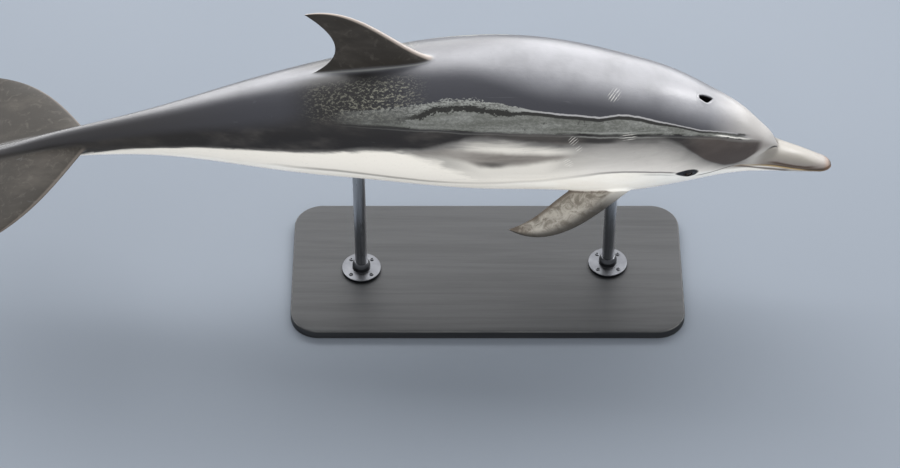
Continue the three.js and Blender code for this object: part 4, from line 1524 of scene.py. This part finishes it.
def screw_mesh(centre, height, settings):
    """A button-headed screw with a six-sided socket: the head's dome, then down into the socket."""
    head = settings.screw_radius
    dome = head * np.array([(0, 0), (0.9, 0), (1, 0), (0.92, 0.30), (0.55, 0.46), (0.50, 0.44)])
    dome[2, 1] = SCREW_LIP
    socket = head * np.array([(0.47, 0.38), (0.45, 0.10), (0.2, 0.06), (0, 0.06)])
    profile = np.concatenate([rounded(dome, SCREW_LIP, 3), socket])
    profile[:, 1] += height

    def shape(turn, rows):
        factor = np.ones((rows, len(turn)))
        factor[rows - len(socket) + 1 :] = hexagon(turn) * 0.9
        return factor

    return turned(profile, centre, 48, shape=shape)


def joined(meshes):
    """Several closed meshes as one."""
    starts = np.cumsum([0] + [len(points) for points, _, _ in meshes])
    points, quads, triangles = zip(*meshes)
    moved = [np.concatenate([part + start for part, start in zip(parts, starts)]) for parts in (quads, triangles)]
    return (np.concatenate(points), *moved)


def foot_mesh(place, columns, settings):
    """A foot with its hub, and four screws round it."""
    top = FOOT_BASE + FOOT["height"]
    profile = rounded([
        (0, FOOT_BASE), (FOOT["radius"], FOOT_BASE), (FOOT["radius"], top), (FOOT["hub_radius"], top),
        (FOOT["hub_radius"], top + FOOT["hub_step"]), (ROD_RADIUS + FOOT["lip"], FOOT_TOP), (0, FOOT_TOP),
    ], settings.foot_round)
    screws = [
        screw_mesh(place + settings.screw_circle * np.array([math.cos(turn), math.sin(turn)]), top, settings)
        for turn in np.radians([45, 135, 225, 315])
    ]
    return joined([turned(profile, place, columns), *screws])


def cup_mesh(place, belly, columns, pad):
    """A cup that widens from the rod to its rim, and whose inside follows the skin under the pad."""
    radius = CUP["radius"]
    outside = rounded([
        (0, belly - CUP["height"]), (ROD_RADIUS, belly - CUP["height"]), (radius, belly - CUP["rim"]), (radius, 9.0)
    ], CUP["rounding"], 6)[:-2]
    inside = [(radius, -pad - 0.0015), (radius - 0.0004, -pad - 0.0006), (radius - CUP["lip"], -pad)]
    inside += [(r, -pad) for r in np.linspace(radius - 0.003, 0.003, 8)] + [(0, -pad)]
    return turned([*outside, *inside], place, columns, lifted=len(outside))


def pad_mesh(place, columns, pad):
    """The rubber pad in a cup, whose top follows the skin just below it."""
    edge = CUP["radius"] - CUP["lip"]
    profile = rounded([(0, -pad), (edge, -pad), (edge, -PAD_GAP), (0, -PAD_GAP)], SMALL_ROUNDING, 3)
    across = np.linspace(0.004, edge - 0.003, 6)
    profile = np.concatenate([
        profile[:1], [(r, -pad) for r in across], profile[1:-1], [(r, -PAD_GAP) for r in across[::-1]], profile[-1:]
    ])
    return turned(profile, place, columns, lifted=0)


# ---- Settings ------------------------------------------------------------------------------------------------


def length_setting(name, description, default):
    return bpy.props.FloatProperty(
        name=name, description=description, default=default, min=0, unit="LENGTH", precision=4
    )


def count_setting(name, description, default):
    return bpy.props.IntProperty(name=name, description=description, default=default, min=2)


def colour_setting(key, description, *seen):
    return bpy.props.FloatVectorProperty(
        name=key.replace("_", " ").capitalize(), description=description, default=shade(*seen),
        min=0, max=1, size=3, subtype="COLOR",
    )


def light_setting(name, description, default):
    return bpy.props.FloatProperty(name=name, description=description, default=default, min=0, unit="POWER")


class DolphinSkinSettings(bpy.types.PropertyGroup):
    """Sizes of the skin's details and counts of its mesh"""

    mouth_depth: length_setting("Mouth depth", "Depth of the groove between the lips", 0.0022)
    mouth_width: length_setting("Mouth width", "Half width of the groove between the lips", 0.0015)
    lip_height: length_setting("Lip height", "How far the lips stand out beside the groove", 0.0008)
    crease_depth: length_setting("Forehead crease", "Depth of the crease where forehead meets beak", 0.0022)
    blowhole_size: length_setting("Blowhole size", "How far the blowhole's opening reaches from its middle", 0.010)
    blowhole_rim: length_setting("Blowhole rim", "How far the blowhole's rim stands out", 0.0010)
    blowhole_mound: length_setting("Blowhole mound", "How far the crown swells round the blowhole", 0.0018)
    eye_length: length_setting("Eye length", "Length of the opening between the lids", 0.021)
    eye_height: length_setting("Eye height", "Height of the opening between the lids", 0.0105)
    eye_point: bpy.props.FloatProperty(
        name="Eye point", description="How pointed the lids' corners are: 1 straight, 2 oval", default=1.55,
        min=1, max=3,
    )
    lid_thickness: length_setting("Lid thickness", "Thickness of the lids over the eyeball", 0.0011)
    lid_softness: length_setting("Lid softness", "How softly the lids run into the face", 0.0040)
    lid_fold: length_setting("Lid fold", "Depth of the fold above and below the eye", 0.0010)
    lid_rings: count_setting("Lid rings", "Rings of mesh from the face to the lids' edge", 26)
    root_fillet: length_setting("Root fillet", "Size of the fillet where a fin leaves the body", 0.011)
    flat_rings: count_setting("Root rings", "Rings of mesh on the body round a fin", 4)
    fillet_rings: count_setting("Fillet rings", "Rings of mesh across a fin's fillet", 6)
    fin_rings: count_setting("Fin rings", "Rings of mesh from a fin's root to its tip", 38)


# Colours as they are seen: what each is for, and its red, green and blue from 0 to 255.
COLOURS = {
    # The middle of the back is painted lighter than the cape's own dark grey: partly painted sheen.
    "back": ("Middle of the back", 123, 123, 127),
    "back_side": ("Back where it turns down", 53, 53, 58),
    # The front of the forehead is pale partly as painted sheen.
    "melon": ("Front of the forehead", 172, 168, 164),
    "cape_side": ("Lower edge of the dark cape and the rear flank", 34, 32, 32),
    "cheek": ("Brown of the cape on the side of the head", 92, 82, 76),
    # The film's colours paint the reflection of a sheet of water on the shoulder; its light lines are painted
    # highlights.
    "film": ("Olive film on the shoulder", 102, 103, 97),
    "film_pale": ("Light lines and streaks in the film", 138, 139, 134),
    "film_dark": ("Dark line under the film's upper edge", 34, 33, 30),
    "film_line": ("Light line along the film's upper edge", 158, 156, 156),
    "fleck": ("Pale olive flecks under the back fin", 136, 134, 120),
    "wedge": ("Brown-grey wedge under the blaze", 112, 106, 100),
    "face": ("Side of the head and flank just under the cape", 108, 106, 103),
    "flank": ("Head and flank just over the stripe", 218, 213, 206),
    "stripe": ("Thin stripe from eye to vent", 96, 92, 90),
    "belly": ("Belly", 246, 242, 233),
    "belly_shade": ("Duller patches on the belly", 238, 232, 221),
    "throat": ("Grey of the throat", 190, 196, 200),
    "beak_top": ("Top of the beak", 134, 129, 121),
    "beak_side": ("Side of the beak", 128, 120, 115),
    "chin": ("Yellow-brown under the lip", 176, 150, 104),
    # lip also paints the shade under the lip at the front of the jaw.
    "lip": ("Dark brown of the lips", 70, 56, 46),
    "tip_ring": ("Orange-brown round the beak's tip", 116, 84, 58),
    # Painted shade in the forehead's crease, the mouth's seam, the blowhole and the eye sockets; also the black of the
    # pupil and of the film's lower edge.
    "crease": ("Dark of creases, pupil and blowhole", 16, 13, 12),
    "eye_patch": ("Dark skin round the eye", 22, 23, 28),
    "iris": ("Brown of the iris", 58, 38, 26),
    "fin": ("Back fin and flukes", 44, 40, 35),
    "fin_patch": ("Paler patches on the back fin and flukes", 78, 73, 67),
    # The back fin's pale front edge is partly wear and partly a painted highlight.
    "fin_rubbed": ("Paler rubbed front edge of the back fin", 156, 144, 135),
    "flipper": ("Flippers", 188, 182, 172),
    "flipper_shade": ("Darker patches on the flippers", 128, 121, 111),
    "flipper_edge": ("Back edge and tip of the flippers", 92, 78, 66),
    "board": ("Lacquered board", 40, 41, 43),
    "board_grain": ("Darker grain under the lacquer", 30, 31, 33),
    "board_worn": ("Board where its edge is rubbed", 104, 104, 102),
    "steel": ("Brushed steel", 205, 206, 208),
    "steel_dark": ("Lines in the brushed steel", 160, 161, 164),
    "turned": ("Blackened steel of the feet and cups", 78, 79, 82),
    "turned_dark": ("Lines in the turned steel", 60, 61, 64),
    "rubber": ("Pads in the cups", 30, 30, 31),
    "floor": ("Studio floor", 128, 134, 142),
    "floor_shade": ("Fainter patches on the floor", 124, 130, 138),
}


class DolphinColours(bpy.types.PropertyGroup):
    """Colours of the skin, the eyes, the stand and the floor"""

    __annotations__ = {key: colour_setting(key, *row) for key, row in COLOURS.items()}


class DolphinStandSettings(bpy.types.PropertyGroup):
    """Sizes of the stand's details"""

    board_arris: length_setting("Board edge", "Radius of the board's rounded edge", 0.003)
    board_points: count_setting("Board points", "Points round the board's outline", 240)
    turned_points: count_setting("Turned points", "Points round the feet, rods and cups", 96)
    foot_round: length_setting("Foot rounding", "Rounding of the foot's edges", 0.0015)
    screw_radius: length_setting("Screw head", "Radius of the foot's screw heads", 0.0052)
    screw_circle: length_setting("Screw circle", "Radius of the circle the screws stand on", 0.036)
    pad_thickness: length_setting("Pad thickness", "Thickness of the rubber pad in each cup", 0.0025)


class DolphinStudioSettings(bpy.types.PropertyGroup):
    """Camera and lights"""

    camera_distance: bpy.props.FloatProperty(
        name="Camera distance", description="From the beak's tip to the camera", default=7.0, min=1, unit="LENGTH"
    )
    camera_elevation: bpy.props.FloatProperty(
        name="Camera elevation", description="How far the camera looks down", default=math.radians(46), subtype="ANGLE"
    )
    camera_lens: bpy.props.FloatProperty(
        name="Lens", description="Focal length on a sensor 36 mm wide", default=117.6, min=10, unit="CAMERA"
    )
    over_light: light_setting("Overhead light", "Power of the softbox over and behind the back", 290)
    sheen_light: light_setting("Sheen light", "Power of the panel behind, which only shows in the gloss", 470)
    bow_light: light_setting("Bow light", "Power of the panel ahead, which only shows in the gloss", 150)
    streak_light: light_setting("Streak light", "Power of the small panel whose gloss shows on the shoulder", 45)
    front_light: light_setting("Front light", "Power of the low panel in front, which lights the belly", 27)
    air: bpy.props.FloatProperty(name="Air", description="Brightness of the even light all round", default=0.85, min=0)


SETTINGS = {
    "dolphin_skin": DolphinSkinSettings,
    "dolphin_colours": DolphinColours,
    "dolphin_stand": DolphinStandSettings,
    "dolphin_studio": DolphinStudioSettings,
}


# ---- Operators -----------------------------------------------------------------------------------------------

FLESH = (
    "beak_upper", "lower_jaw", "head", "thorax", "abdomen", "tail_stock", "dorsal_fin", "flipper_right",
    "flipper_left", "fluke_right", "fluke_left",
)


class BuildSkin(bpy.types.Operator):
    """Build the animal's one skin with its fins, lids and blowhole"""

    bl_idname = "dolphin.build_skin"
    bl_label = "Skin"

    def execute(self, context):
        points, quads, triangles, places, masks = build_skin(context.scene.dolphin_skin)
        make_piece(
            "dolphin_skin", points, quads, triangles, skin_finish(context.scene.dolphin_colours), FLESH, "skin",
            marking_attributes(points, places, masks),
        )
        return {"FINISHED"}


class BuildEyes(bpy.types.Operator):
    """Build the two eyeballs that sit in the skin's sockets"""

    bl_idname = "dolphin.build_eyes"
    bl_label = "Eyes"

    def execute(self, context):
        finish = eye_finish(context.scene.dolphin_colours)
        for name, side in (("right", 1), ("left", -1)):
            points, ends, gaze = eyeball(side)
            mesh = closed_grid(points, ends, inward=side > 0)
            make_piece(f"eyeball_{name}", *mesh, finish, [f"eye_{name}"], "eye", [("gaze", gaze)])
        return {"FINISHED"}


class BuildStand(bpy.types.Operator):
    """Build the board, and a foot with its screws, a rod and a padded cup at each of two places"""

    bl_idname = "dolphin.build_stand"
    bl_label = "Stand"

    def execute(self, context):
        colours, settings = context.scene.dolphin_colours, context.scene.dolphin_stand
        *board, worn = board_mesh(settings)
        finish = board_finish(colours)
        make_piece("display_board", *board, finish, ["stand_base"], "stand_board", [("arris", worn)])
        brushed = steel_finish("Brushed steel rod", colours.steel, colours.steel_dark, 0.14, (1.0, 1.0, 0.02))
        blackened = steel_finish("Turned steel", colours.turned, colours.turned_dark, 0.20, (0.05, 0.05, 1.0))
        rubber = rubber_finish(colours)
        columns, pad = settings.turned_points, settings.pad_thickness
        for name, station in ROD_STATIONS.items():
            place, belly = rod_place(station)
            low, high = FOOT_TOP + GAP, belly - CUP["height"] - GAP
            rod = rounded([(0, low), (ROD_RADIUS, low), (ROD_RADIUS, high), (0, high)], SMALL_ROUNDING, 3)
            for piece, mesh, material, body in (
                ("rod_foot", foot_mesh(place, columns, settings), blackened, "stand_foot"),
                ("rod", turned(rod, place, columns), brushed, "stand_rod"),
                ("rod_cup", cup_mesh(place, belly, columns, pad), blackened, "stand_cup"),
                ("cup_pad", pad_mesh(place, columns, pad), rubber, "stand_cup"),
            ):
                make_piece(f"{piece}_{name}", *mesh, material, [f"{body}_{name}"], "stand_steel")
        return {"FINISHED"}


SENSOR_WIDTH = 36  # of the camera, in millimetres
IMAGE_WIDTH, IMAGE_HEIGHT = 900, 468
TIP_PIXEL = (831, 165)  # where the beak's tip is in the picture
# The studio floor's rings, the points of each, and its first and last radius.
FLOOR_RINGS, FLOOR_POINTS, FLOOR_REACH = 24, 96, (0.3, 14)
# Panels of light: the setting of its power, width and height, place, what it faces, and whether it lights matt
# surfaces and shows in gloss.
PANELS = {
    "Overhead softbox": ("over_light", (7.0, 2.2), (0.3, 1.9, 3.2), (0.1, 0, 0.5), True, True),
    "Sheen panel": ("sheen_light", (10.0, 3.0), (0.3, 3.8, 1.7), (0.2, 0, 0.6), False, True),
    "Bow panel": ("bow_light", (3.0, 2.6), (4.0, 1.2, 2.2), (0.6, 0, 0.5), False, True),
    "Streak panel": ("streak_light", (0.5, 0.5), (2.5, 1.06, 2.62), (0.65, 0, 0.5), False, True),
    "Low front panel": ("front_light", (3.8, 0.6), (0.1, -1.5, 0.17), (0.1, -1.0, 1.04), True, False),
}


def add_panel(scene, name, power, size, place, target, lights, shines):
    """A flat rectangular light, turned from its place to its target."""
    light = bpy.data.lights.new(name, "AREA")
    light.shape = "RECTANGLE"
    light.size, light.size_y = size
    light.energy = power
    lamp = bpy.data.objects.new(name, light)
    x, y, z = np.array(target, float) - np.array(place, float)
    lamp.rotation_euler = (math.atan2(math.hypot(x, y), -z), 0, math.atan2(y, x) - math.pi / 2)
    lamp.location = place
    lamp.visible_camera = False
    lamp.visible_diffuse, lamp.visible_glossy = lights, shines
    scene.collection.objects.link(lamp)


def add_camera(scene, settings):
    """The camera, level and facing +Y as it looks down, and so placed that the beak's tip is at its own pixel:
    tip - distance * (right u + up v + forward)."""
    lens_pixels = settings.camera_lens / SENSOR_WIDTH * IMAGE_WIDTH
    tilt = settings.camera_elevation
    back = np.array([0, -math.cos(tilt), math.sin(tilt)])
    up = np.array([0, math.sin(tilt), math.cos(tilt)])
    u, v = (TIP_PIXEL[0] - IMAGE_WIDTH / 2) / lens_pixels, (IMAGE_HEIGHT / 2 - TIP_PIXEL[1]) / lens_pixels
    camera = bpy.data.cameras.new("Camera")
    camera.sensor_width = SENSOR_WIDTH
    camera.lens = settings.camera_lens
    eye = bpy.data.objects.new("Camera", camera)
    eye.location = BEAK_TIP - settings.camera_distance * (np.array([u, 0, 0]) + up * v - back)
    eye.rotation_euler = (math.pi / 2 - tilt, 0, 0)
    scene.collection.objects.link(eye)
    scene.camera = eye


class BuildStage(bpy.types.Operator):
    """Build the pale floor, the soft lights, the even light all round and the camera"""

    bl_idname = "dolphin.build_stage"
    bl_label = "Studio"

    def execute(self, context):
        scene, settings = context.scene, context.scene.dolphin_studio
        turn = 2 * math.pi * np.arange(FLOOR_POINTS) / FLOOR_POINTS
        reach = np.linspace(*FLOOR_REACH, FLOOR_RINGS)[:, None]
        points = np.stack([reach * np.cos(turn), reach * np.sin(turn), 0 * reach * turn], -1).reshape(-1, 3)
        middle = fan_faces(np.arange(FLOOR_POINTS)[::-1], len(points))[:, ::-1]
        mesh = bpy.data.meshes.new("studio_floor")
        faces = grid_faces(FLOOR_RINGS, FLOOR_POINTS).tolist() + middle.tolist()
        mesh.from_pydata([*points.tolist(), (0, 0, 0)], [], faces)
        mesh.materials.append(floor_finish(scene.dolphin_colours))
        floor = bpy.data.objects.new("studio_floor", mesh)
        scene.collection.objects.link(floor)

        scene.world = bpy.data.worlds.new("Studio air")
        scene.world.use_nodes = True
        background = scene.world.node_tree.nodes["Background"]
        background.inputs["Color"].default_value = (0.93, 0.96, 1.0, 1)
        background.inputs["Strength"].default_value = settings.air
        for name, (power, *row) in PANELS.items():
            add_panel(scene, name, getattr(settings, power), *row)
        add_camera(scene, settings)
        scene.view_settings.view_transform = "Standard"
        return {"FINISHED"}


class DolphinPanel(bpy.types.Panel):
    """Sizes, colours and builders of the dolphin and its stand"""

    bl_idname = "VIEW3D_PT_dolphin"
    bl_label = "Striped Dolphin"
    bl_space_type = "VIEW_3D"
    bl_region_type = "UI"
    bl_category = "Dolphin"

    def draw(self, context):
        for operator in OPERATORS:
            self.layout.operator(operator.bl_idname)
        for attribute in SETTINGS:
            settings = getattr(context.scene, attribute)
            box = self.layout.box()
            box.label(text=attribute.split("_")[1].capitalize())
            for key in settings.bl_rna.properties.keys():
                if key not in {"rna_type", "name"}:
                    box.prop(settings, key)


OPERATORS = (BuildSkin, BuildEyes, BuildStand, BuildStage)


def register():
    for made in (*SETTINGS.values(), *OPERATORS, DolphinPanel):
        bpy.utils.register_class(made)
    for attribute, settings in SETTINGS.items():
        setattr(bpy.types.Scene, attribute, bpy.props.PointerProperty(type=settings))


def unregister():
    for attribute in SETTINGS:
        delattr(bpy.types.Scene, attribute)
    for made in (DolphinPanel, *OPERATORS[::-1], *SETTINGS.values()):
        bpy.utils.unregister_class(made)


def main():
    register()
    bpy.ops.dolphin.build_skin()
    bpy.ops.dolphin.build_eyes()
    bpy.ops.dolphin.build_stand()
    bpy.ops.dolphin.build_stage()


if __name__ == "__main__":
    main()
